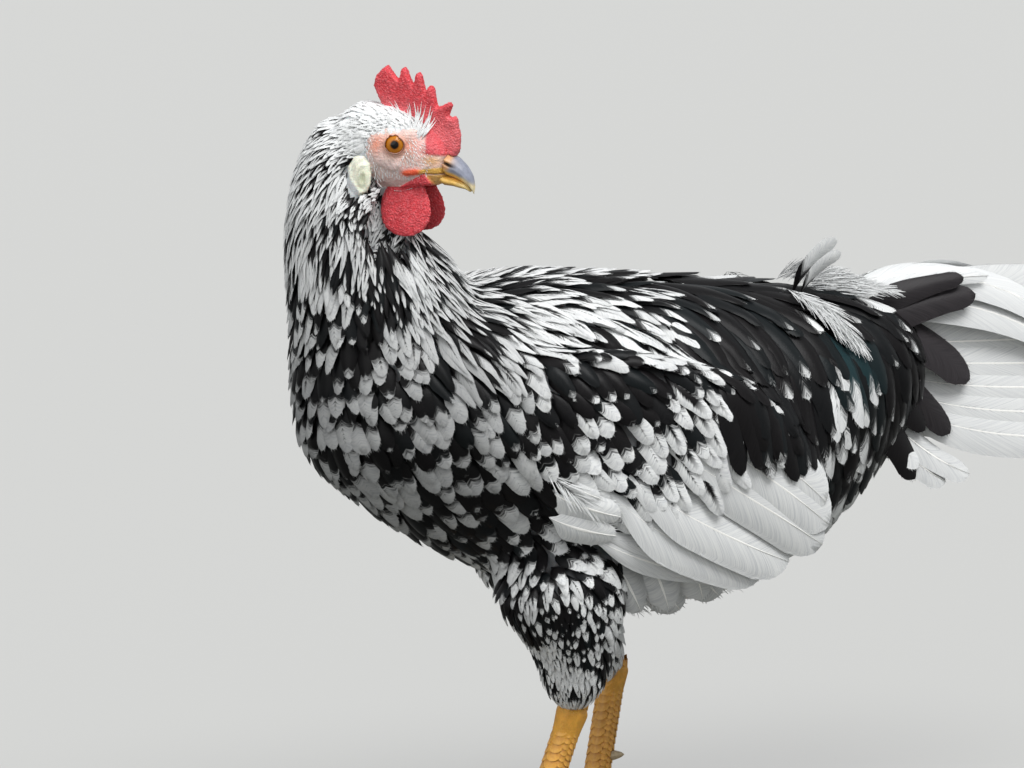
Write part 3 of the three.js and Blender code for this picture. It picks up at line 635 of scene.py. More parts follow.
# in the head's frame the sides differ in y, so the axes are turned round to mirror the rows
head_lay = both_sides([(tuple(np.roll(row[0], -1)), tuple(np.roll(row[1], -1)), *row[2:])
                       for row in HEAD_LAY])
head_lay[:, :3] = from_head(np.roll(head_lay[:, :3], 1, axis=1))
head_lay[:, 3:6] = np.roll(head_lay[:, 3:6], 1, axis=1) @ HEAD_AXES.T
lay = np.concatenate([lay, head_lay])
rng = np.random.default_rng(11)


def lay_at(co, table=lay):
    """The direction and the six measures of the coat at each point."""
    out = np.empty((len(co), 9))
    for start in range(0, len(co), 4000):
        part = co[start : start + 4000]
        gap = ((part[:, None, :] - table[None, :, :3]) ** 2).sum(2)
        weight = 1 / (gap + 9.0) ** 2
        out[start : start + 4000] = weight @ table[:, 3:] / weight.sum(1)[:, None]
    out[:, :3] /= np.linalg.norm(out[:, :3], axis=1)[:, None]
    return out


# The coat's outline: the plumed solids made one smooth surface, which the feathers' tips reach.
outline = joined("outline", PLUMED, GAP_CLOSING)
shaped(outline, "REMESH", mode="VOXEL", voxel_size=0.002)
# the coat bridges the crease between wing and back, so the outline is closed over it
for step in (5.0, -5.0):
    set_points(outline, points(outline) + outward(outline) * step)
    shaped(outline, "REMESH", mode="VOXEL", voxel_size=0.002)
keep_largest(outline)
shaped(outline, "SMOOTH", factor=0.5, iterations=6)
shaped(outline, "TRIANGULATE")
rim_co, rim_normal = points(outline), outward(outline)
triangles = np.empty(len(outline.data.polygons) * 3, int)
outline.data.polygons.foreach_get("vertices", triangles)
triangles = triangles.reshape(-1, 3)
surface = BVHTree.FromPolygons([Vector(p) for p in rim_co], triangles.tolist())
bpy.data.objects.remove(outline)


def onto(co):
    """The nearest place on the outline, with its smoothed normal."""
    spots, normals = np.empty_like(co), np.empty_like(co)
    for i, p in enumerate(co.tolist()):
        spot, _, face, _ = surface.find_nearest(p)
        corner = triangles[face]
        gap = 1 / (np.linalg.norm(rim_co[corner] - np.array(spot), axis=1) + 0.2)
        spots[i] = spot
        normals[i] = gap @ rim_normal[corner]
    return spots, normals / np.linalg.norm(normals, axis=1)[:, None]


def scattered(wanted, table=lay):
    """Roots strewn over the outline where wanted(points, kinds) holds, as far apart as the lay says."""
    a, b, c = (rim_co[triangles[:, k]] for k in range(3))
    area = np.linalg.norm(np.cross(b - a, c - a), axis=1) / 2
    middle = (a + b + c) / 3
    use = wanted(middle, face_kind)
    density = area * use * 7.0 / lay_at(middle, table)[:, 5] ** 2
    number = rng.poisson(density)
    face = np.repeat(np.arange(len(triangles)), number)
    r, s = rng.random((2, len(face)))
    flip = r + s > 1
    r, s = np.where(flip, 1 - r, r), np.where(flip, 1 - s, s)
    co = a[face] + (b - a)[face] * r[:, None] + (c - a)[face] * s[:, None]
    order = rng.permutation(len(co))
    co = co[order]
    apart = lay_at(co, table)[:, 5]
    kept, grid = [], {}
    cell = 4.0
    for i, (p, far) in enumerate(zip(co.tolist(), apart.tolist())):
        x, y, z = (int(v // cell) for v in p)
        steps = int(far // cell) + 1
        free = True
        for dx in range(-steps, steps + 1):
            for dy in range(-steps, steps + 1):
                for dz in range(-steps, steps + 1):
                    for q in grid.get((x + dx, y + dy, z + dz), ()):
                        if (p[0] - q[0]) ** 2 + (p[1] - q[1]) ** 2 + (p[2] - q[2]) ** 2 < far * far:
                            free = False
                            break
                    if not free:
                        break
                if not free:
                    break
            if not free:
                break
        if free:
            grid.setdefault((x, y, z), []).append(p)
            kept.append(i)
    return co[kept]


face_kind = nearest_kind(rim_co[triangles].mean(1))

# ---------------------------------------------------------------------------
# One feather: a thin closed vane, bowed across, with a raised shaft under which it is thickest.
# It is made once as rows and columns and laid along every shaft; tips are ragged by column.
SHAFT_POINTS = 6


def template(rows, columns, loose):
    """The vane's places along (0-1) and across (-1 to 1), its triangles, and how far each place may
    stray. Loose barbs part from the outer edge: thin closed spikes whose tips stray."""
    along, over = np.meshgrid(np.linspace(0, 1, rows), np.linspace(-1, 1, columns), indexing="ij")
    top = np.arange(rows * columns).reshape(rows, columns)
    under = rows * columns + np.arange(rows)
    tris = []
    for i in range(rows - 1):
        for j in range(columns - 1):
            p, q, r, s = top[i, j], top[i, j + 1], top[i + 1, j + 1], top[i + 1, j]
            tris += [(p, q, r), (p, r, s)]
        p, q, r, s = top[i, 0], top[i + 1, 0], under[i + 1], under[i]
        tris += [(p, q, r), (p, r, s)]
        p, q, r, s = top[i + 1, -1], top[i, -1], under[i], under[i + 1]
        tris += [(p, q, r), (p, r, s)]
    for j in range(columns - 1):
        tris += [(top[0, j + 1], top[0, j], under[0]), (top[-1, j], top[-1, j + 1], under[-1])]
    body = np.stack([along.ravel(), over.ravel(), np.zeros(rows * columns), np.zeros(rows * columns)], 1)
    keel = np.stack([np.linspace(0, 1, rows), np.zeros(rows), np.ones(rows), np.zeros(rows)], 1)
    places = [body, keel]
    for k in range(loose):
        round_edge = (k + 0.5) / loose * 2 - 1
        first = rows * (columns + 1) + 4 * k
        if abs(round_edge) < 0.6:  # over the end
            u = round_edge / 0.6 * 0.97
            spike = [(0.95, u - 0.035, 0, 0), (0.95, u + 0.035, 0, 0), (0.93, u, 1, 0), (1.0, u, 0, 1)]
        else:  # along the side
            u = math.copysign(0.97, round_edge)
            v = 1 - (abs(round_edge) - 0.6) / 0.4 * 0.55
            spike = [(v - 0.05, u * 0.94, 0, 0), (v - 0.02, u, 0, 0), (v - 0.04, u * 0.9, 1, 0),
                     (v + 0.03, u * 1.02, 0, 1)]
        places.append(np.array(spike))
        a, b, c, d = range(first, first + 4)
        tris += [(a, d, b), (b, d, c), (c, d, a), (a, b, c)]
    along, over, below, stray = np.concatenate(places).T
    return along, over, below, stray, np.array(tris)


def traced(roots, heading, length, table=lay, stiff=0.25):
    """Shafts that run over the outline from their roots: points and normals, (n, SHAFT_POINTS, 3)."""
    spot, normal = onto(roots)
    shafts, normals = [spot], [normal]
    step = (length / (SHAFT_POINTS - 1))[:, None]
    way = heading - normal * (heading * normal).sum(1)[:, None]
    way /= np.linalg.norm(way, axis=1)[:, None]
    bend = rng.normal(0, 0.05, (len(roots), 1))
    for _ in range(SHAFT_POINTS - 1):
        spot, normal = onto(shafts[-1] + way * step)
        free = shafts[-1] + way * step
        off = ((free - spot) * normal).sum(1)[:, None]
        spot = spot + normal * np.clip(off, 0, None) * stiff * 2
        shafts.append(spot)
        normals.append(normal)
        new = lay_at(spot, table)[:, :3]
        way = way * 0.55 + new * 0.45 + np.cross(normal, way) * bend
        way -= normal * (way * normal).sum(1)[:, None] * (1 - stiff)
        way /= np.linalg.norm(way, axis=1)[:, None]
    return np.stack(shafts, 1), np.stack(normals, 1)


def at_fraction(values, along):
    """Values kept at the shaft's points, read at each vane place's fraction of the length."""
    steps = values.shape[1] - 1
    spot = np.clip(along, 0, 1.5) * steps
    low = np.clip(spot.astype(int), 0, steps - 1)
    part = (spot - low)[..., None]
    pick = np.arange(len(values))[:, None]
    return values[pick, low] * (1 - part) + values[pick, low + 1] * part


def vanes(name, shafts, normals, width, pointed, marks, depth=5.0, lift=0.4, rows=6, columns=5,
          ragged=0.04, cup=0.16, thick=0.35, uneven=0.0, unwrap=None, patch=0.003, roll=8.0,
          loose=0, astray=1.2):
    """Joined vanes as one piece. marks: white share, streak, tone and painted sheen of each; on parts of the
    coat the tone carries painted shade and light. Loose barbs stray by about so many mm."""
    n = len(shafts)
    along, over, below, stray, tris = template(rows, columns, loose)
    length = np.linalg.norm(np.diff(shafts, axis=1), axis=2).sum(1)
    width, pointed, depth, lift, uneven = (np.broadcast_to(np.asarray(v, float), n)[:, None]
                                           for v in (width, pointed, depth, lift, uneven))
    amount = stray * rng.random((n, len(along))) ** 1.5 * astray
    v = along[None, :] + amount / length[:, None]
    u = over[None, :] * (1 + amount * 0.7 / width) + stray * rng.normal(0, 0.05, (n, len(along)))
    # round tips close as a bow, pointed ones taper all the way
    span_round = ramp(v, -0.12, 0.5)
    span_pointed = ramp(v, -0.15, 0.4) * (1 - 0.86 * ramp(v, 0.45, 1.02))
    span = span_round * (1 - pointed) + span_pointed * pointed
    arc = 1 - np.sqrt(1 - np.minimum(0.97 * np.abs(u), 0.98) ** 2)
    ends = 1 - np.minimum(0.75 * width / length[:, None], 0.5) * (1 - 0.6 * pointed) * arc
    jag = -rng.random((n, columns)) * ragged
    jag = np.concatenate([np.tile(jag, (1, rows)), np.zeros((n, len(along) - rows * columns))], 1) * v**3
    reach = (0.06 * u**2 + v * (ends - 0.06 * u**2)) * (1 + jag)
    spine, normal = at_fraction(shafts, reach), at_fraction(normals, reach)
    heading = np.gradient(shafts, axis=1)
    heading = at_fraction(heading, reach)
    heading /= np.linalg.norm(heading, axis=2)[..., None]
    aside = np.cross(normal, heading)
    aside /= np.linalg.norm(aside, axis=2)[..., None]
    tilt = np.radians(rng.normal(0, roll, (n, 1, 1)))
    aside, normal = (aside * np.cos(tilt) + normal * np.sin(tilt),
                     normal * np.cos(tilt) - aside * np.sin(tilt))
    half = width / 2 * span * (1 + uneven * u)
    height = -depth * np.clip(1 - reach, 0, 1) ** 1.6 + lift * reach**2
    height = height - cup * half * u**2 * 2 + thick * 0.5 * (1 - np.abs(u)) * (1 - 0.7 * v)
    height = height - below[None, :] * thick * (1 - 0.8 * v)
    co = spine + aside * (u * half)[..., None] + normal * height[..., None]
    assert np.isfinite(co).all()
    first = co[0][tris]
    if np.einsum("ij,ij->", first[:, 0], np.cross(first[:, 1], first[:, 2])) < 0:
        tris = tris[:, ::-1]
    mesh = bpy.data.meshes.new(name)
    verts_each = len(along)
    all_tris = (tris[None] + (np.arange(n) * verts_each)[:, None, None]).reshape(-1, 3)
    mesh.vertices.add(n * verts_each)
    mesh.vertices.foreach_set("co", (co.reshape(-1, 3) / 1000 + np.array(origin)).ravel())
    mesh.loops.add(len(all_tris) * 3)
    mesh.loops.foreach_set("vertex_index", all_tris.ravel().astype(np.int32))
    mesh.polygons.add(len(all_tris))
    mesh.polygons.foreach_set("loop_start", np.arange(0, len(all_tris) * 3, 3, dtype=np.int32))
    mesh.update(calc_edges=True)
    mesh.set_sharp_from_angle(angle=math.radians(75))
    corner = tris.ravel()
    uv = np.clip(np.stack([over[corner] * 0.5 + 0.5, along[corner]], 1), 0, 1)
    mesh.uv_layers.new(name="Vane").data.foreach_set("uv", np.tile(uv, (n, 1)).ravel())
    spot = unwrapped(shafts[:, 0]) if unwrap is None else unwrap
    baked = spot[:, None, :] + (uv[None] - 0.5) * patch
    mesh.uv_layers.new(name="OFBake").data.foreach_set("uv", np.clip(baked, 0.001, 0.999).ravel())
    painted_sheen = marks[:, 3] if marks.shape[1] > 3 else np.zeros(n)
    for key, values in (("marks", marks[:, :3]),
                        ("build", np.stack([length, painted_sheen, rng.random(n)], 1))):
        data = mesh.attributes.new(key, "FLOAT_VECTOR", "POINT").data
        data.foreach_set("vector", np.repeat(values, verts_each, 0).ravel())
    piece = bpy.data.objects.new(name, mesh)
    bpy.context.scene.collection.objects.link(piece)
    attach(piece, "root")
    print(name, n, "vanes", len(all_tris), "triangles")
    return piece


def unwrapped(co):
    """Each place on a flat lay-out of the skin: the head and neck above, the trunk below."""
    high = ramp(co[:, 2] - 0.45 * co[:, 1], 330, 331)
    neck_turn = np.arctan2(co[:, 0], -(co[:, 1] + 125)) / math.tau + 0.5
    trunk_turn = np.arctan2(co[:, 0], co[:, 2] - 215) / math.tau + 0.5
    neck = np.stack([neck_turn * 0.94 + 0.03, (co[:, 2] - 240) / 180 * 0.42 + 0.53], 1)
    trunk = np.stack([trunk_turn * 0.94 + 0.03, (co[:, 1] + 170) / 360 * 0.46 + 0.03], 1)
    return trunk * (1 - high[:, None]) + neck * high[:, None]


# Mottled plumage: keratin vanes, black or white, matt where barbs part, with a painted blue-green sheen
# mixed into the black's colour where the marks ask for it.
# White fills the tip, a black streak may follow the shaft, and every border runs along the barbs.
plume, tree, shader = material("mottled_plumage")
flat = add(tree, "UVMap", uv_map="Vane").outputs["UV"]
flat = add(tree, "SeparateXYZ", {0: flat})
mark = add(tree, "SeparateXYZ", {0: add(tree, "Attribute", attribute_name="marks").outputs["Vector"]})
built = add(tree, "SeparateXYZ", {0: add(tree, "Attribute", attribute_name="build").outputs["Vector"]})
white_share, streak, toning = mark.outputs[0], mark.outputs[1], mark.outputs[2]
length, chance = built.outputs[0], built.outputs[2]
aside = add(tree, "Math", {0: flat.outputs[0], 1: 2.0, 2: -1.0}, operation="MULTIPLY_ADD")
beside = add(tree, "Math", {0: aside.outputs[0]}, operation="ABSOLUTE").outputs[0]
barb = add(tree, "Math", {0: beside, 1: -0.22, 2: flat.outputs[1]}, operation="MULTIPLY_ADD").outputs[0]
# barbs, drawn 0.7 mm apart where real ones stand 0.3 mm, so that they show
barb_count = add(tree, "Math", {0: barb, 1: length}, operation="MULTIPLY")
barb_count = add(tree, "Math", {0: barb_count.outputs[0], 1: 1 / 0.7}, operation="MULTIPLY")
apart = add(tree, "Math", {0: chance, 1: 400.0}, operation="MULTIPLY")  # each vane has its own noise
lone = add(tree, "CombineXYZ", {0: barb_count.outputs[0], 1: beside, 2: apart.outputs[0]})
fibre = add(tree, "TexNoise", {"Vector": lone.outputs[0], "Scale": 1.0, "Detail": 2.0}).outputs["Fac"]
fibre_off = add(tree, "Math", {0: fibre, 1: -0.5}, operation="ADD")
border = add(tree, "Math", {0: fibre_off.outputs[0], 1: 0.34, 2: barb}, operation="MULTIPLY_ADD")
border = add(tree, "Math", {0: border.outputs[0], 1: white_share}, operation="ADD")
tip = add(tree, "MapRange", {0: border.outputs[0], 1: 0.90, 2: 1.08, 3: 0.0, 4: 1.0},
          interpolation_type="SMOOTHSTEP")
# the dark streak, wavering and widest in mid feather
core = add(tree, "Math", {0: fibre_off.outputs[0], 1: 0.7, 2: beside}, operation="MULTIPLY_ADD")
wide = add(tree, "Math", {0: streak, 1: 0.72, 2: -0.12}, operation="MULTIPLY_ADD")
core = add(tree, "Math", {0: wide.outputs[0], 1: core.outputs[0]}, operation="SUBTRACT")
core = add(tree, "MapRange", {0: core.outputs[0], 1: -0.10, 2: 0.10, 3: 0.0, 4: 1.0})
fade = add(tree, "MapRange", {0: flat.outputs[1], 1: 0.66, 2: 0.92, 3: 1.0, 4: 0.0})
core = add(tree, "Math", {0: core.outputs[0], 1: fade.outputs[0]}, operation="MULTIPLY")
core = add(tree, "Math", {0: 1.0, 1: core.outputs[0]}, operation="SUBTRACT")
white = add(tree, "Math", {0: tip.outputs[0], 1: core.outputs[0]}, operation="MULTIPLY").outputs[0]
dark = add(tree, "ValToRGB", {"Fac": fibre})
dark.color_ramp.elements[0].color = linear("090809")
dark.color_ramp.elements[1].color = linear("1b191a")
# a painted sheen: the black's colour is mixed toward blue-green as far as its sheen share says
sheen = add(tree, "Mix", {MIX_BY: built.outputs[1], MIX_A: dark.outputs[0], MIX_B: linear("24494e")},
            data_type="RGBA")
light = add(tree, "ValToRGB", {"Fac": fibre})
light.color_ramp.elements[0].color = linear("d0d2d3")
light.color_ramp.elements[0].position = 0.3
light.color_ramp.elements[1].color = linear("e9eae8")
light.color_ramp.elements[1].position = 0.6
blend = add(tree, "Mix", {MIX_BY: white, MIX_A: sheen.outputs[MIXED], MIX_B: light.outputs[0]},
            data_type="RGBA")
toned = add(tree, "Mix", {MIX_BY: 1.0, MIX_A: blend.outputs[MIXED], MIX_B: toning},
            data_type="RGBA", blend_type="MULTIPLY")
tree.links.new(toned.outputs[MIXED], shader.inputs["Base Color"])
rough = add(tree, "MapRange", {0: white, 3: 0.38, 4: 0.62})
tree.links.new(rough.outputs[0], shader.inputs["Roughness"])
shader.inputs["Specular IOR Level"].default_value = 0.13
ridge = add(tree, "Bump", {"Strength": 0.12, "Distance": 0.0004, "Height": fibre})
tree.links.new(ridge.outputs[0], shader.inputs["Normal"])


def clumped(co, size, seed=0.0):
    """A slow wander over the coat, about -1 to 1, in patches of some mm."""
    return np.array([noise.noise(Vector(p) / size + Vector((seed, seed, seed))) for p in co]) * 2


# The skin beneath carries the same mottling, should a gap show it.
under = points(skin)
mottled = lay_at(under)[:, 7] + 0.42 * clumped(under, 15) + 0.3 * clumped(under, 4, 3.0)
covered = np.isin(kind, ["neck", "trunk", "wing", "thigh"]) * 1.0
covered = np.maximum(covered, (kind == "head") * (1 - ramp(bare_face, 0.2, 0.6)))
paint(covered, "191819")
paint(covered * ramp(mottled, 0.4, 0.65), "b9bbbd")
paint((kind == "head") * covered * (1 - ramp(in_head(under)[:, 0], 12, 14)), "dfe0e0")
beside_lobe = np.hypot((in_head(under)[:, 0] + 13.5) / 9, (in_head(under)[:, 2] + 18.2) / 11)
paint(covered * (kind != "trunk") * (1 - ramp(beside_lobe, 0.9, 1.3)), "c9cccd")
# and it is painted dark where the thigh leaves the breast, as painted shade in the crook between them
from_crook = np.linalg.norm(np.abs(under) - np.abs((66, -58, 176)), axis=1)
paint(covered * (under[:, 1] < 0) * (1 - ramp(from_crook, 12, 20)), "191819")
skin.data.color_attributes["tone"].data.foreach_set(
    "color", np.concatenate([tone, np.ones((len(tone), 1))], 1).ravel())

# TEAL is the place on which the painted blue-green sheen is centred
TEAL = np.array((56.0, 121.0, 256.0))  # where the black shines blue-green, mm


def runs_free(shafts, room=2.4):
    """Which shafts (mm) run through no comb, wattle or lobe, nor before a wattle's root."""
    free = np.ones(len(shafts), bool)
    for i in np.flatnonzero(shafts[:, 0, 2] > 300):
        for spot in shafts[i]:
            hit = crisp_solid[0].find_nearest((spot / 1000 + np.array(origin)).tolist(), 0.0036)
            if hit[2] is not None and hit[3] * 1000 < (room if crisp_solid[1][hit[2]] == "wattle" else 0.9):
                free[i] = False
    return free


def coat(name, wanted, table=lay, wander=0.42, fleck=0.25, within=None, **more):
    """A region of small feathers, from its roots to a finished piece; within may bound their tips."""
    roots = scattered(wanted, table)
    measure = lay_at(roots, table)
    n = len(roots)
    heading = measure[:, :3] + rng.normal(0, 0.07, (n, 3))
    length = measure[:, 3] * rng.uniform(0.82, 1.15, n)
    shafts, normals = traced(roots, heading, length, table)
    clear = runs_free(shafts)
    near = in_head(shafts[:, :5].reshape(-1, 3))
    before_wattle = (near[:, 0] > -1.5) & (near[:, 2] < -16) & (near[:, 2] > -43) & (np.abs(near[:, 1]) > 4)
    clear &= ~before_wattle.reshape(n, 5).any(1)
    roots, measure, shafts, normals = roots[clear], measure[clear], shafts[clear], normals[clear]
    if within:
        short = within(shafts[:, -1])
        roots, measure, shafts, normals = roots[short], measure[short], shafts[short], normals[short]
    n = len(roots)
    # what shows is the tip, so the marks go by where it lies
    shown = lay_at(shafts[:, -1], table)
    white = shown[:, 7] + wander * clumped(shafts[:, -1], 15) + rng.normal(0, 0.10, n)
    white = np.where(shown[:, 7] > 0.9, np.maximum(white, 0.85), white)
    white += fleck * (rng.random(n) < 0.1)
    streak = np.clip(shown[:, 8] + 0.3 * clumped(roots, 12, 7.0), 0, 1) * 0.9
    mirrored = shafts[:, 3] * np.where(shafts[:, 3, :1] < 0, (-1, 1, 1), (1, 1, 1))
    # the painted sheen is strongest about TEAL, with a faint one at random elsewhere
    painted_sheen = np.exp(-(np.linalg.norm(mirrored - TEAL, axis=1) / 11) ** 2) * 0.8 + rng.random(n) ** 3 * 0.07
    # painted shade: the whites of the breast are toned down, those of the neck a little, and painted light
    # lifts those about the head
    tip = shafts[:, -1]
    painted_shade = 0.42 * ramp(-tip[:, 1], 30, 100) * (1 - ramp(tip[:, 2], 250, 310))
    painted_shade += 0.12 * ramp(-tip[:, 1], 60, 90)
    toned = rng.uniform(0.84, 1.04, n) * (1 - painted_shade * (tip[:, 2] < 345)) + 0.12 * ramp(tip[:, 2], 365, 380)
    more = {"depth": np.interp(measure[:, 3], (3, 8, 16, 30), (0.5, 2.0, 4.5, 6.0)), **more}
    piece = vanes(name, shafts, normals, measure[:, 4] * rng.uniform(0.85, 1.15, n), measure[:, 6],
                  np.stack([np.clip(white, -0.2, 1.2), streak, toned, painted_sheen], 1), **more)
    piece.data.materials.append(plume)
    return piece


def head_tract(co, kinds_here):
    near = in_head(co)
    return (kinds_here == "head") & (face_gap(near) > -0.8) & (near[:, 0] < 13)


def face_tract(co, kinds_here):
    near = in_head(co)
    return (kinds_here == "head") & (face_gap(near) < 1) & (near[:, 0] < 18) & (
        near[:, 0] ** 2 + near[:, 2] ** 2 > 42) & (near[:, 2] > -9.6 - 0.9 * np.abs(near[:, 0] - 17.3))


def saddle_tract(co, k):
    return np.isin(k, ["trunk", "wing"]) & (co[:, 1] > 14 + 0.45 * (295 - co[:, 2])) & (
        co[:, 1] < 170) & (co[:, 2] > np.where(co[:, 1] > 85, 222, 240))


coat("plumage_head", head_tract, rows=5, columns=5, ragged=0.08, loose=8, astray=0.7, cup=0.08, thick=0.2)
# short bristles, hair-thin, sparse over the bare face
FACE_LAY = [
    ((-30, -112, 372), (0.3, 0.6, -0.6), 2.8, 0.5, 1.25, 1.0, 1.1, 0.0),
    ((30, -112, 372), (-0.3, 0.6, -0.6), 2.8, 0.5, 1.25, 1.0, 1.1, 0.0),
]
coat("face_bristles", face_tract, both_sides(FACE_LAY), rows=3, columns=2, ragged=0.0, depth=0.3,
     lift=0.9, thick=0.25, cup=0.0)
# stiff white bristles fan up from the forehead over the foot of the comb
n = 150
root_x = rng.uniform(1.5, 13.5, n)
lean = np.radians((root_x - 10.5) * 5.5 + rng.normal(0, 9, n))
reach = 3.5 + 14 * rng.random(n) ** 2.2
t = np.linspace(0, 1, 6)
up = (5.5 + 3.5 * rng.random(n))[:, None] + (reach * np.cos(lean))[:, None] * t * 0.9
ahead = root_x[:, None] + (reach * np.sin(lean))[:, None] * t
out = np.interp(up, (4, 8, 11, 13.5, 16, 30), (11.0, 9.8, 7.6, 5.2, 3.4, 3.2)) + 0.2
bristle_side = np.where(rng.random(n) < 0.5, 1, -1)[:, None]
bristles = from_head(np.stack([ahead, out * bristle_side, up], 2))
across = from_head(np.stack([ahead * 0, bristle_side + ahead * 0, ahead * 0 + 0.4], 2)) - HEAD_AT
across /= np.linalg.norm(across, axis=2)[..., None]
marks = np.stack([np.full(n, 1.3), np.zeros(n), rng.uniform(0.95, 1.06, n), np.zeros(n)], 1)
piece = vanes("forehead_bristles", bristles, across, rng.uniform(0.6, 1.0, n), 1.0, marks, rows=6,
              columns=3, ragged=0.0, depth=0.6, lift=0.3, thick=0.3, cup=0.05)
piece.data.materials.append(plume)
# the throat behind the wattles, where the flesh lies deep, has its own short soft feathers
near = in_head(points(skin))
throat = np.isin(kind, ["head", "neck"]) & (np.abs(near[:, 1]) < 18) & (face_gap(near) > -0.3)
throat &= near[:, 0] > np.where(near[:, 2] > -36, -25, -14)
throat &= near[:, 0] < 5 + 16 * ramp(-near[:, 2], 38, 46)
throat &= (near[:, 2] > -68) & (near[:, 2] < np.where(near[:, 0] < -14, -8, -17))
spots = rng.permutation(np.flatnonzero(throat))
_, first = np.unique(np.round(near[spots] / 1.7).astype(int), axis=0, return_index=True)
spots = spots[first]
n = len(spots)
way = np.array([-0.22, 0.0, -0.97]) + rng.normal(0, 0.10, (n, 3))
way[:, 0] -= 0.4 * ramp(-near[spots][:, 0], 12, 20)
out = (outward(skin) @ HEAD_AXES)[spots]
way -= out * (way * out).sum(1)[:, None] * 0.85
t = np.linspace(0, 1, 6)[None, :, None]
shafts = near[spots][:, None] + way[:, None] * t * rng.uniform(7, 11, (n, 1, 1))
shafts = from_head(shafts + out[:, None] * (0.4 + 1.6 * t))
clear = runs_free(shafts, 1.1)
shafts, out = shafts[clear], out[clear]
n = len(shafts)
marks = np.stack([0.72 + 0.35 * clumped(shafts[:, 0], 6, 2.0), rng.uniform(0, 0.6, n),
                  rng.uniform(0.85, 1.0, n), np.zeros(n)], 1)
piece = vanes("throat_feathers", shafts, np.repeat((out @ HEAD_AXES.T)[:, None], 6, 1),
              rng.uniform(2.6, 3.8, n), 0.6, marks, rows=5, columns=5, ragged=0.08, depth=0.5, lift=0.3,
              thick=0.25, cup=0.12, loose=8, astray=1.0)
piece.data.materials.append(plume)
coat("plumage_neck", lambda co, k: (k == "neck") & (co[:, 2] > 270), rows=6, columns=6, ragged=0.05,
     loose=12, astray=1.6)
coat("plumage_breast", lambda co, k: ((k == "neck") & (co[:, 2] <= 270)) | (
    (k == "trunk") & (co[:, 1] < -50) & (co[:, 2] < 300)), rows=5, columns=11, ragged=0.035, loose=30,
    astray=2.2)
coat("plumage_back", lambda co, k: (k == "trunk") & (co[:, 2] > 235) & ((co[:, 1] >= -50) | (
    co[:, 2] >= 300)) & ~saddle_tract(co, k), rows=7, columns=7, ragged=0.03, loose=16, astray=2.0)
coat("plumage_belly", lambda co, k: (k == "trunk") & (co[:, 1] >= -50) & (co[:, 2] <= 235), rows=5,
     columns=9, ragged=0.04, loose=40, astray=3.5)
coat("plumage_wings", lambda co, k: (k == "wing") & (
    co[:, 2] > 210 + 0.42 * (np.maximum(co[:, 1], -35) + 20)), rows=6, columns=9, ragged=0.03, loose=20,
    astray=1.6)
coat("plumage_thighs", lambda co, k: k == "thigh", rows=5, columns=7, ragged=0.05, loose=14, astray=1.4)

# The saddle: long broad glossy feathers that fall from the back over the wing's rear and the root
# of the tail, black but for a few white tips along the hem.
SADDLE_LAY = [
    ((12, 22, 299), (0.40, 0.86, -0.30), 50, 12, 7.5, 0.6, 0.10, 0.3),
    ((34, 32, 293), (0.62, 0.40, -0.68), 60, 14, 8, 0.45, 0.02, 0.2),
    ((57, 40, 276), (0.50, 0.30, -0.82), 60, 16, 8.5, 0.45, -0.1, 0.2),
    ((12, 90, 292), (0.50, 0.65, -0.56), 55, 14, 8, 0.5, 0.06, 0.2),
    ((31, 82, 288), (0.60, 0.26, -0.76), 64, 16, 8.5, 0.4, -0.02, 0.1),
    ((56, 79, 272), (0.42, 0.16, -0.90), 64, 17, 9, 0.4, -0.1, 0.1),
    ((73, 60, 255), (0.20, 0.14, -0.97), 58, 17, 9, 0.4, -0.15, 0.1),
    ((67, 95, 250), (0.12, 0.08, -0.99), 54, 17, 9, 0.4, -0.1, 0.05),
    ((12, 135, 284), (0.5, 0.7, -0.5), 52, 14, 8.5, 0.4, 0.0, 0.1),
    ((48, 130, 266), (0.35, 0.18, -0.92), 58, 16, 9, 0.4, -0.08, 0.1),
    ((60, 124, 248), (0.10, 0.12, -0.98), 50, 16, 9, 0.4, -0.08, 0.1),
    ((40, 158, 262), (0.25, 0.34, -0.90), 50, 15, 8.5, 0.4, -0.08, 0.1),
    ((47, 155, 243), (0.05, 0.24, -0.97), 44, 15, 8.5, 0.3, -0.08, 0.1),
    ((85, 56, 222), (0.05, 0.16, -0.98), 50, 16, 8.5, 0.4, -0.15, 0.1),
    ((84, 60, 205), (0.05, 0.16, -0.98), 50, 15, 8.5, 0.4, -0.1, 0.2),
    ((66, 108, 205), (0.0, 0.14, -0.98), 50, 14, 8.5, 0.4, 0.12, 0.2),
    ((57, 118, 222), (0.0, 0.14, -0.98), 50, 14, 8.5, 0.4, 0.16, 0.1),
    ((54, 148, 208), (0.0, 0.20, -0.97), 44, 14, 8.5, 0.3, -0.05, 0.1),
]
# the hem's height along the body, mm: above the flight feathers, and free behind them
SADDLE_HEM = ((40, 80, 81, 104, 105), (206, 204, 198, 192, 0))
coat("saddle_feathers", saddle_tract, both_sides(SADDLE_LAY), wander=0.13, fleck=0.3,
     within=lambda tips: tips[:, 2] > np.interp(tips[:, 1], *SADDLE_HEM), rows=10, columns=7, ragged=0.02,
     loose=18, astray=2.0, depth=3.0, lift=1.5, cup=0.14, thick=0.3, roll=4.0)

# ---------------------------------------------------------------------------
# Flight feathers and tail feathers: long stiff vanes with a round white shaft that stands proud.
# They are laid one by one: root, middle and tip of the shaft (mm), width, and marks.
def bowed(row):
    """Root, middle and tip of one shaft, as evenly spaced points of the curve through them."""
    root, middle, tip = (np.array(p, float) for p in row[:3])
    t = np.linspace(0, 1, 12)[:, None]
    knee = 2 * middle - (root + tip) / 2
    return (1 - t) ** 2 * root + 2 * t * (1 - t) * knee + t**2 * tip


feather_shaft, tree, shader = material("feather_shaft")  # a horny rod, ivory and smooth
shader.inputs["Base Color"].default_value = linear("fbfaf5")
shader.inputs["Roughness"].default_value = 0.3


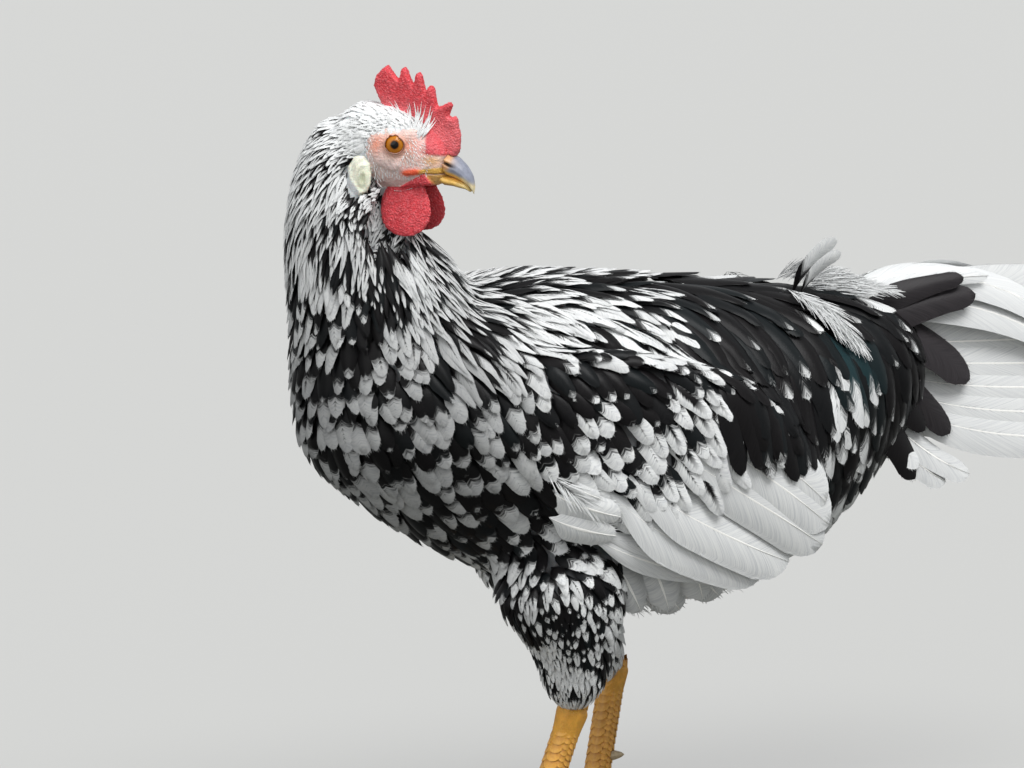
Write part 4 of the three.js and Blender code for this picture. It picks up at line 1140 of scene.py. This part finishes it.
def quills(name, table, facing, sides=(1, -1), uneven=0.0, **more):
    """Long feathers from a table, with a rod along each pale one."""
    rows = [(side, row) for side in sides for row in table]
    sign = [np.array((side, 1, 1)) for side, _ in rows]
    shafts = np.array([bowed(row) * turned for (_, row), turned in zip(rows, sign)])
    outs = np.array([np.tile(np.array(facing) * turned, (12, 1)) for turned in sign])
    measures = np.array([row[3:8] for _, row in rows], float)
    tilted = uneven * np.array([side for side, _ in rows])
    # the handful of big feathers lie side by side on the baking map, each in a place of its own
    across = math.ceil(math.sqrt(len(rows)))
    index = np.arange(len(rows))
    spots = np.stack([(index % across + 0.5) / across, (index // across + 0.5) / across], 1)
    settings = {"rows": 20, "roll": 3.0, **more}
    piece = vanes(name, shafts, outs, measures[:, 0], measures[:, 1], measures[:, 2:], unwrap=spots,
                  patch=0.9 / across, uneven=tilted, columns=11, loose=24, **settings)
    piece.data.materials.append(plume)
    pale = (measures[:, 2] > 0.9) & (measures[:, 0] > 9)
    if pale.any():
        settings.update(lift=settings["lift"] + 0.45, ragged=0.0, thick=1.1, cup=0.0)
        rods = vanes(name + "_rods", shafts[pale], outs[pale], 1.5, 1.0, measures[pale, 2:],
                     unwrap=spots[pale], patch=0.9 / across, columns=3, **settings)
        rods.data.materials.append(feather_shaft)


WING_FLIGHT = [
    ((81, -36, 213), (81.5, 8, 180), (73.5, 60, 160), 32, 0.05, 1.3, 0.0, 0.97),
    ((83, -32, 222), (84.8, 20, 189), (75.5, 73, 163), 34, 0.0, 1.3, 0.0, 1.0),
    ((85, -5, 232), (85.8, 42, 202), (76.5, 92, 170), 32, 0.0, 1.3, 0.0, 0.98),
    ((84, 8, 241), (85.3, 52, 212), (77.5, 95, 180), 30, 0.0, 1.3, 0.0, 0.97),
    ((84, -10, 246), (86.0, 26, 222), (82.5, 62, 199), 28, 0.05, 1.3, 0.0, 1.0),
    ((83, 20, 246), (84.0, 56, 222), (78, 93, 192), 28, 0.1, 1.3, 0.0, 0.97),
    ((77, -50, 196), (76, -6, 177), (72, 30, 165), 9, 0.6, 1.3, 0.0, 1.0),
    ((77, -46, 192), (75, -8, 172), (71, 38, 159), 12, 0.4, 1.3, 0.0, 0.94),
    ((77, -42, 190), (74, -4, 169), (70, 48, 157), 14, 0.3, 1.3, 0.0, 0.92),
]
quills("flight_feathers", WING_FLIGHT, (1.0, 0.0, 0.12), uneven=0.15, depth=2.0, lift=0.5, thick=1.0,
       cup=0.10, ragged=0.008, astray=0.8)

# soft white feathers of the belly hang below the folded wing, their tone lowered there as painted shade, and
# tufts stand before it
BELLY = [
    ((60, -20, 172), (63, -12, 158), (58, -2, 142), 19, 0.0, 1.3, 0.0, 0.74),
    ((61, 0, 172), (63, 6, 158), (58, 14, 141), 23, 0.0, 1.3, 0.0, 0.8),
    ((60, 20, 174), (62, 27, 160), (57, 34, 144), 23, 0.0, 1.3, 0.0, 0.84),
    ((58, 40, 176), (60, 47, 163), (55, 55, 149), 22, 0.0, 1.3, 0.0, 0.84),
    ((54, 56, 178), (56, 64, 167), (51, 73, 156), 20, 0.0, 1.3, 0.0, 0.92),
    ((48, 10, 160), (50, 18, 147), (45, 28, 137), 22, 0.0, 1.3, 0.0, 0.84),
    ((46, 34, 162), (48, 42, 150), (43, 52, 141), 22, 0.0, 1.3, 0.0, 0.84),
    ((70, -62, 212), (79, -47, 204), (82, -27, 198), 19, 0.1, 1.3, 0.0, 0.98),
    ((70, -60, 198), (77, -46, 192), (79, -28, 188), 18, 0.1, 1.3, 0.0, 0.92),
    ((68, -62, 220), (77, -52, 214), (81, -38, 208), 12, 0.2, 1.3, 0.0, 0.95),
]
quills("belly_plumes", BELLY, (0.95, -0.1, -0.2), depth=1.0, lift=0.4, thick=0.5, cup=0.22, ragged=0.05,
       astray=5.0)

TAIL = []
for i in range(7):
    t = i / 6
    high = 200 + 70 * t
    out = 0.8 + 0.26 * (292 - high)
    reach = 296 + 26 * math.sin(math.pi * (i + 1.5) / 9)
    TAIL.append(((out * 0.55 + 3, 148, 236 + 30 * t), (out + 1.6, 222, high + 6),
                 (out + 0.4, reach, high), 27, 0.15, 1.3, 0.06, 0.93))
quills("tail_feathers", TAIL, (1.0, 0.0, 0.26), uneven=0.1, depth=1.0, lift=0.3, thick=1.0, cup=0.06,
       ragged=0.02, astray=1.5)
SICKLES = [
    ((9, 148, 268), (17, 234, 280), (24, 330, 198), 20, 0.55, 1.3, 0.0, 0.96),
    ((10, 150, 262), (18, 215, 272), (23, 300, 226), 22, 0.5, 1.3, 0.0, 0.93),
    ((8, 140, 272), (15, 174, 285), (19, 226, 287), 12, 0.5, 1.3, 0.1, 0.95),
    # dark grey-brown and black coverts fanned over the tail's root, white ones under them
    ((14, 144, 266), (20, 178, 275), (23, 216, 279), 20, 0.35, -0.3, 0.0, 4.2),
    ((16, 140, 272), (22.5, 178, 260), (23.5, 213, 234), 24, 0.1, -0.2, 0.0, 5.0),
    ((20, 142, 262), (27, 168, 240), (29, 198, 208), 19, 0.15, -0.2, 0.0, 3.2),
    ((24, 140, 262), (31, 160, 238), (33, 180, 212), 18, 0.2, -0.2, 0.0, 1.2),
    ((32, 138, 240), (38, 156, 215), (37, 172, 188), 20, 0.2, -0.2, 0.0, 1.0),
    ((28, 150, 232), (32, 176, 205), (32, 208, 186), 18, 0.15, 1.3, 0.2, 0.84),
    ((30, 148, 228), (34.5, 168, 202), (34.5, 192, 184), 17, 0.15, 1.3, 0.2, 0.80),
    ((30, 144, 238), (36, 158, 214), (37, 174, 194), 14, 0.2, 0.5, 0.2, 1.0),
]
quills("sickle_feathers", SICKLES, (1.0, 0.0, 0.6), depth=0.5, lift=0.3, thick=1.0, cup=0.08,
       ragged=0.02, astray=2.0)
quills("tail_ridge", [
    ((-3, 142, 275), (-2, 190, 290), (-1, 240, 282), 22, 0.3, 1.3, 0.0, 0.96),
    ((5, 146, 273), (9, 192, 287), (12, 258, 272), 18, 0.4, 1.3, 0.0, 0.93),
], (0.35, 0.0, 1.0), sides=(1,), depth=0.5, lift=0.2, thick=1.0, cup=0.1, ragged=0.02, astray=2.0)
quills("high_coverts", [
    ((12, 142, 270), (18, 174, 282), (22, 209, 288), 14, 0.4, -0.3, 0.0, 3.4),
], (1.0, 0.0, 0.6), sides=(1,), depth=0.5, lift=0.5, thick=1.0, cup=0.08, ragged=0.02, astray=2.0)
# one covert stands up before the tail, ruffled, on the near side only
quills("ruffled_covert", [
    ((16, 109, 284), (19, 117, 302), (22, 132, 314), 10, 0.1, 0.62, 0.0, 1.12),
    ((18, 112, 284), (21, 121, 299), (23, 134, 307), 9, 0.2, 0.8, 0.0, 1.08),
], (0.8, 0.5, 0.1), sides=(1,), depth=0.3, lift=0.2, thick=0.7, cup=0.08, ragged=0.02, astray=1.5)
for piece_name in ("tail_feathers", "sickle_feathers"):
    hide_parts("tail_fan_left", "tail_fan_right", "sickle_left",
                "sickle_right")

# ---------------------------------------------------------------------------
# Each eye is a glossy globe painted with an amber iris, black pupil and a dark rim on its front,
# which bulges a little; the colours go by the angle from the eye's own axis.
cornea, tree, shader = material("eye")
ring_u = add(tree, "SeparateXYZ", {0: add(tree, "UVMap", uv_map="Round").outputs["UV"]})
fibres = add(tree, "TexNoise", {"Vector": add(tree, "CombineXYZ", {
    0: add(tree, "Math", {0: ring_u.outputs[0], 1: 34.0}, operation="MULTIPLY").outputs[0],
    1: add(tree, "Math", {0: ring_u.outputs[1], 1: 4.0}, operation="MULTIPLY").outputs[0]}).outputs[0],
    "Scale": 1.0, "Detail": 2.0})
# the iris' fine spokes shift the rings a little
ringed = add(tree, "Math", {0: fibres.outputs["Fac"], 1: 0.05, 2: ring_u.outputs[1]},
             operation="MULTIPLY_ADD")
iris = add(tree, "ValToRGB", {"Fac": ringed.outputs[0]})
iris.color_ramp.elements[0].position = 0.0
iris.color_ramp.elements[0].color = linear("070606")
for spot, code in ((0.185, "060505"), (0.205, "5a3208"), (0.26, "b46c18"), (0.38, "c57d1c"),
                   (0.46, "a8620f"), (0.52, "7a4612"), (0.58, "3a2210")):
    element = iris.color_ramp.elements.new(spot)
    element.color = linear(code)
iris.color_ramp.elements[-1].color = linear("140e0b")
tree.links.new(iris.outputs[0], shader.inputs["Base Color"])
shader.inputs["Roughness"].default_value = 0.06
shader.inputs["Specular IOR Level"].default_value = 0.35
for side, axis in EYE_AXIS.items():
    bpy.ops.object.select_all(action="DESELECT")
    bpy.ops.mesh.primitive_uv_sphere_add(segments=64, ring_count=48, radius=1.0)
    globe = bpy.context.object
    globe.name = "eyeball_" + side
    unit = np.array([v.co for v in globe.data.vertices])
    angle = np.degrees(np.arccos(np.clip(unit[:, 2], -1, 1)))
    # the front bulges a little over the pupil and the iris
    radius = EYE_RADIUS * (1 + 0.035 * (1 - ramp(angle, 20, 46)))
    turn_to = np.array(Vector(axis).normalized().to_track_quat("Z", "Y").to_matrix())
    local = (unit * radius[:, None]) @ turn_to.T + np.array((0, EYE_OUT if side == "left" else -EYE_OUT, 0))
    uv = globe.data.uv_layers[0]
    uv.name = "Round"
    for loop in globe.data.loops:
        v = unit[loop.vertex_index]
        uv.data[loop.index].uv = (math.atan2(v[1], v[0]) / math.tau + 0.5,
                                  angle[loop.vertex_index] / 90)
    set_points(globe, from_head(local))
    globe.data.shade_smooth()
    globe.data.materials.append(cornea)
    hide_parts("eye_" + side)
    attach(globe, "root")

# ---------------------------------------------------------------------------
# The bill: two horny sheaths over bone, blue-grey along the ridge and yellow at the cutting edges,
# with a slit nostril under a small flap at each side.
horn, tree, shader = material("bill_horn")
laid = add(tree, "Attribute", attribute_name="tone").outputs["Color"]
place = add(tree, "TexCoord").outputs["Object"]
growth = add(tree, "TexNoise", {"Vector": place, "Scale": 420.0, "Detail": 3.0})  # flecks of 2 mm
shade = add(tree, "MapRange", {0: growth.outputs["Fac"], 1: 0.3, 2: 0.7, 3: 0.8, 4: 1.1})
varied = add(tree, "Mix", {MIX_BY: 1.0, MIX_A: laid, MIX_B: shade.outputs[0]}, data_type="RGBA",
             blend_type="MULTIPLY")
tree.links.new(varied.outputs[MIXED], shader.inputs["Base Color"])
lines = add(tree, "TexNoise", {"Vector": place, "Scale": 900.0, "Detail": 2.0})  # growth lines, 1 mm
relief = add(tree, "Bump", {"Strength": 0.25, "Distance": 0.0002, "Height": lines.outputs["Fac"]})
tree.links.new(relief.outputs[0], shader.inputs["Normal"])
shader.inputs["Roughness"].default_value = 0.36
for half in ("upper", "lower"):
    sheath = joined("sheath_" + half, ["bill_" + half])
    shaped(sheath, "REMESH", mode="VOXEL", voxel_size=0.0004)
    keep_largest(sheath)
    shaped(sheath, "SMOOTH", factor=0.5, iterations=10)
    near = in_head(points(sheath))
    out = np.abs(near[:, 1])
    # the cutting edges meet along a line that rises a little and then hooks down
    meet = np.interp(near[:, 0], (18, 30, 35.5, 41), (-9.6, -9.9, -11.3, -14.6))
    colour = np.zeros((len(near), 3))
    colour[:] = linear("f7c765")[:3]

    def wash(mask, code):
        weight = np.clip(mask, 0, 1)[:, None]
        colour[:] = colour * (1 - weight) + np.array(linear(code)[:3]) * weight

    if half == "upper":
        top = np.interp(near[:, 0], (24, 27, 30, 33, 36, 39, 41), (1.4, 0.9, -0.1, -1.7, -3.9, -7.4, -13))
        low = np.interp(near[:, 0], (24, 27, 33, 36, 39, 41), (-12.4, -12.6, -13.0, -13.3, -14.5, -16.2))
        drop = np.clip((top - near[:, 2]) / np.maximum(top - low, 1), 0, 1)
        near[:, 2] += (np.maximum(meet, low) - low) * drop * (1 - ramp(near[:, 0], 38, 41))
        above_edge = near[:, 2] - meet
        wash(ramp(above_edge, 1.6, 3.6) * ramp(near[:, 0], 24.5, 28.5), "9397a6")
        wash((1 - ramp(near[:, 0], 25.5, 29)) * ramp(above_edge, 3.0, 4.5), "dca272")
        wash(ramp(near[:, 0], 32, 38) * (1 - ramp(above_edge, 1.5, 4.5)), "f6e6b8")
        ahead, up = near[:, 0] - 26.6, near[:, 2] + 3.6
        slit = np.exp(-(ahead / 2.4) ** 2 - ((up + 0.25 * ahead) / 0.75) ** 2) * (out > 2.5)
        ahead, up = near[:, 0] - 26.0, near[:, 2] + 1.4
        flap = np.exp(-(ahead / 3.2) ** 2 - ((up + 0.25 * ahead) / 1.6) ** 2) * (out > 2.5)
        near[:, 1] += np.sign(near[:, 1]) * (0.9 * flap - 1.7 * slit)
        wash(flap * 0.9, "cf9f70")
        # the slit is painted dark brown, as painted shade in the nostril's opening
        wash(slit * 1.3, "3a2a22")
    else:
        top = np.interp(near[:, 0], (22, 26, 29, 32, 35, 37.2), (-14.4, -13.2, -13.4, -13.6, -13.9, -14.6))
        near[:, 2] = meet - 0.1 + (near[:, 2] - top) * 1.2
        near[:, 0] += 2.4 * ramp(near[:, 0], 27, 37)
        near[:, 2] -= 1.6 * ramp(near[:, 0], 36, 40)
        wash(ramp(near[:, 0], 30, 37), "ecd08a")
        # the lower mandible is painted darker tan toward its underside, as painted shade
        wash(ramp(meet - near[:, 2], 2, 4), "b98a4c")
    set_points(sheath, from_head(near))
    sheath.data.color_attributes.new("tone", "FLOAT_COLOR", "POINT")
    sheath.data.color_attributes["tone"].data.foreach_set(
        "color", np.concatenate([colour, np.ones((len(near), 1))], 1).ravel())
    sheath.data.shade_smooth()
    sheath.data.materials.append(horn)
    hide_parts("bill_" + half)
    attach(sheath, "root")

# ---------------------------------------------------------------------------
# Claws and spurs: curved cones of horn, pale grey-brown and streaked.
claw_horn, tree, shader = material("claw_horn")
place = add(tree, "TexCoord").outputs["Object"]
streaks = add(tree, "TexNoise", {"Vector": place, "Scale": 500.0, "Detail": 3.0})  # streaks of 2 mm
tint = add(tree, "ValToRGB", {"Fac": streaks.outputs["Fac"]})
tint.color_ramp.elements[0].color = linear("8b7a62")
tint.color_ramp.elements[1].color = linear("cdbb97")
tree.links.new(tint.outputs[0], shader.inputs["Base Color"])
relief = add(tree, "Bump", {"Strength": 0.3, "Distance": 0.0002, "Height": streaks.outputs["Fac"]})
tree.links.new(relief.outputs[0], shader.inputs["Normal"])
shader.inputs["Roughness"].default_value = 0.34
for side in ("left", "right"):
    for part in ["spur_" + side] + [f"claw_{side}_{toe}" for toe in ("inner", "middle", "outer", "hind")]:
        nail = joined("horn_" + part, [part])
        shaped(nail, "REMESH", mode="VOXEL", voxel_size=0.0005)
        keep_largest(nail)
        shaped(nail, "SMOOTH", factor=0.5, iterations=4)
        nail.data.shade_smooth()
        nail.data.materials.append(claw_horn)
        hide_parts(part)
        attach(nail, "root")

# ---------------------------------------------------------------------------
# The scales of shanks and toes: overlapping horny plates, two rows of broad ones down the front,
# small ones round the sides and back, and one row of short broad ones over each toe.
SHANKS = {"left": ((36, -26.5, 94), 19), "right": ((-38, 37, 92), 11.5)}  # hock (mm), lean (deg)
ANKLE_HEIGHT, FOOT_INSET, SHANK_HALF, TOE_HALF = 11, 4, 5.8, 4.4
TOES = ((-36, 42, 0.92), (-2, 60, 1.0), (33, 46, 0.92), (188, 27, 0.82))  # heading, length, stoutness

leg_scale, tree, shader = material("leg_scale")
flat = add(tree, "SeparateXYZ", {0: add(tree, "UVMap", uv_map="Vane").outputs["UV"]})
toning = add(tree, "SeparateXYZ", {0: add(tree, "Attribute", attribute_name="marks").outputs["Vector"]})
place = add(tree, "TexCoord").outputs["Object"]
specks = add(tree, "TexNoise", {"Vector": place, "Scale": 700.0, "Detail": 3.0})  # flecks of 1.4 mm
mixed = add(tree, "Math", {0: flat.outputs[1], 1: 0.55, 2: add(
    tree, "Math", {0: specks.outputs["Fac"], 1: 0.5}, operation="MULTIPLY").outputs[0]},
    operation="MULTIPLY_ADD")
tint = add(tree, "ValToRGB", {"Fac": mixed.outputs[0]})
tint.color_ramp.elements[0].color = linear("b06c22")
tint.color_ramp.elements[0].position = 0.2
tint.color_ramp.elements[1].color = linear("e6ab4c")
tint.color_ramp.elements[1].position = 0.75
toned = add(tree, "Mix", {MIX_BY: 1.0, MIX_A: tint.outputs[0], MIX_B: toning.outputs[2]},
            data_type="RGBA", blend_type="MULTIPLY")
tree.links.new(toned.outputs[MIXED], shader.inputs["Base Color"])
relief = add(tree, "Bump", {"Strength": 0.3, "Distance": 0.0002, "Height": specks.outputs["Fac"]})
tree.links.new(relief.outputs[0], shader.inputs["Normal"])
shader.inputs["Roughness"].default_value = 0.42

for side, (hock, lean) in SHANKS.items():
    sign = 1 if side == "left" else -1
    hock = np.array(hock, float)
    back = (hock[2] - ANKLE_HEIGHT) * math.tan(math.radians(lean))
    ankle = np.array((hock[0] - sign * FOOT_INSET, hock[1] - back, ANKLE_HEIGHT))
    axis = (ankle - hock) / np.linalg.norm(ankle - hock)
    front = np.array((0, -1.0, 0)) - axis * (-axis[1])
    front /= np.linalg.norm(front)
    flank = np.cross(axis, front)
    shafts, outs, widths, marks, spots = [], [], [], [], []

    def plate(where, turned, run, length, width, spot):
        """One plate: its root, how far round the front it lies (degrees), its axis and size."""
        ring = math.radians(turned)
        out = front * math.cos(ring) + flank * math.sin(ring)
        radius = math.hypot(SHANK_HALF * 1.18 * math.cos(ring), SHANK_HALF * 1.02 * math.sin(ring))
        path = [where + out * (radius + 0.1) + run * length * k / 5 for k in range(6)]
        shafts.append(path)
        outs.append([out] * 6)
        widths.append(width)
        marks.append((1.0, 0.0, rng.uniform(0.86, 1.06)))
        spots.append(spot)

    long = np.linalg.norm(ankle - hock)
    for turned, pace, size_, broad in ((-30, 4.4, 6.4, 7.4), (30, 4.4, 6.4, 7.4), (-80, 3.1, 4.2, 4.6),
                                       (80, 3.1, 4.2, 4.6), (-118, 3.0, 4.0, 4.4), (118, 3.0, 4.0, 4.4),
                                       (-152, 3.4, 4.4, 4.8), (152, 3.4, 4.4, 4.8), (180, 3.4, 4.4, 4.4)):
        at = (1.0 if turned > 0 else 1.0 + pace / 2) - 4
        while at < long - 3:
            spot = (0.25 + 0.5 * (sign < 0) + turned / 1800, 0.1 + 0.5 * at / long)
            plate(hock + axis * at, turned, axis, size_, broad, spot)
            at += pace
    for toe, (heading, length, stout) in enumerate(TOES):
        turn = math.radians(heading)
        ahead = np.array((sign * math.sin(turn), -math.cos(turn), 0))
        half = TOE_HALF * stout
        at = 3.0
        while at < length - 1:
            low = half - 0.9
            share = at / length
            height = np.interp(share, (0, 0.25, 0.5, 1), (ANKLE_HEIGHT - 1, low + 1.6, low, low))
            slope = np.interp(share, (0, 0.3, 0.6), (-0.45, -0.1, 0))
            run = np.array((*ahead[:2], slope))
            run /= np.linalg.norm(run)
            top = ankle * (1, 1, 0) + ahead * at + np.array((0, 0, height + half * (0.98 - 0.22 * share)))
            shafts.append([top + run * 4.6 * k / 5 for k in range(6)])
            outs.append([(0, 0, 1.0)] * 6)
            widths.append(half * 1.75 * (1 - 0.2 * share))
            marks.append((1.0, 0.0, rng.uniform(0.86, 1.06)))
            spots.append((0.06 + 0.06 * toe + 0.5 * (sign < 0), 0.7 + 0.25 * share))
            at += 3.3
    plates = vanes("leg_scales_" + side, np.array(shafts, float), np.array(outs, float), np.array(widths),
                   0.0, np.array(marks), unwrap=np.array(spots), rows=5, columns=7, depth=0.5, lift=0.3,
                   thick=0.7, cup=0.20, ragged=0.0, roll=1.5)
    plates.data.materials.append(leg_scale)

# ---------------------------------------------------------------------------
# Down and loose plumes: soft barbs that part from a thin shaft, where the coat is ruffled: before
# the wing, on the vent and before the tail.
def plumes(name, table, barbs=44, both_sides=True):
    """Tufts from a table of root, middle and tip of the shaft, width (mm), the way they face, white
    share and tone."""
    shafts, outs, marks, roots = [], [], [], []
    for side in (1, -1) if both_sides else (1,):
        for root, middle, tip, width, facing, white, toning in table:
            sign = np.array((side, 1, 1))
            spine = bowed((root, middle, tip)) * sign
            out = np.array(facing, float) * sign
            out /= np.linalg.norm(out)
            for b in range(barbs):
                s = 0.1 + 0.88 * (b / barbs)
                k = s * 11
                low = min(int(k), 10)
                start = spine[low] + (spine[low + 1] - spine[low]) * (k - low)
                ahead = spine[low + 1] - spine[low]
                ahead /= np.linalg.norm(ahead)
                aside = np.cross(out, ahead) * (1 if b % 2 else -1)
                spread = math.radians(rng.uniform(18, 44) * (1.05 - 0.75 * s))
                go = ahead * math.cos(spread) + aside * math.sin(spread) + out * rng.uniform(-0.05, 0.25)
                reach = width * rng.uniform(0.8, 1.25) * (1.15 - 0.45 * s)
                bend = ahead * 0.5 - out * 0.25 + np.array((0, 0, -0.25))
                t = np.linspace(0, 1, 6)[:, None]
                shafts.append(start + go * reach * t + bend * reach * 0.35 * t**2)
                outs.append(np.tile(out, (6, 1)))
                marks.append((white, 0.0, toning * rng.uniform(0.92, 1.05)))
                roots.append(spine[0])
    piece = vanes(name, np.array(shafts), np.array(outs), rng.uniform(0.4, 0.75, len(shafts)), 0.8,
                  np.array(marks), unwrap=unwrapped(np.array(roots)), rows=4, columns=2, depth=0.0,
                  lift=0.0, thick=0.3, ragged=0.0, roll=25.0)
    piece.data.materials.append(plume)
    return piece


plumes("flank_plumes", [
    ((72, -66, 224), (79, -52, 211), (78, -34, 196), 11, (1, -0.1, 0.1), 1.3, 0.97),
    ((72.25, -63.5, 222), (79.125, -49.25, 209), (78.125, -31, 194.125), 11, (1, -0.1, 0.1), 1.3, 0.97),
])
VENT = []
for j in range(14):
    t = j / 13
    y = -8 + 78 * t
    x = 40 - 12 * t + 8 * math.sin(9 * t)
    VENT.append(((x, y - 16, 150 + 4 * t), (x + 3, y, 145 + 4 * t), (x, y + 15, 143 + 9 * t), 11,
                 (0.8, 0, -0.6), 1.3, 0.93))
plumes("vent_down", VENT)
TAIL_DOWN = []
for j in range(7):
    t = j / 6
    TAIL_DOWN.append(((8 + 8 * t, 112 + 26 * t, 288 - 5 * t), (12 + 8 * t, 124 + 28 * t, 294 - 8 * t),
                      (14 + 8 * t, 138 + 30 * t, 296 - 12 * t), 10, (0.8, 0.1, 0.6), 1.3, 0.86))
for j in range(6):
    t = j / 5
    TAIL_DOWN.append(((27 + 6 * t, 96 + 16 * t, 294 - 6 * t), (41 + 5 * t, 106 + 16 * t, 285 - 8 * t),
                      (52 + 4 * t, 116 + 14 * t, 270 - 9 * t), 9, (0.8, 0.1, 0.6), 1.3, 0.9))
plumes("tail_down", TAIL_DOWN)

# ---------------------------------------------------------------------------
# The skin again, now that its coat lies on it: under plumage, scutes and the bill's sheaths its
# small faces are merged, and only the bare face, comb, wattles and lobes keep theirs.
SKIN_KEPT = 0.68  # share of all its faces
SHEATH_START = 21  # mm before the eyes
near = in_head(points(skin))
kind = nearest_kind(points(skin))
bared = (kind == "head") & (face_gap(near) < 0.5) & (near[:, 0] < SHEATH_START)
bared |= np.isin(kind, ["comb", "wattle", "ear"])
under_cover = skin.vertex_groups.new(name="under_cover")
under_cover.add(np.flatnonzero(~bared).tolist(), 1.0, "REPLACE")
shaped(skin, "DECIMATE", ratio=SKIN_KEPT, vertex_group="under_cover")

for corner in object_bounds():
    print([round(v, 4) for v in corner])
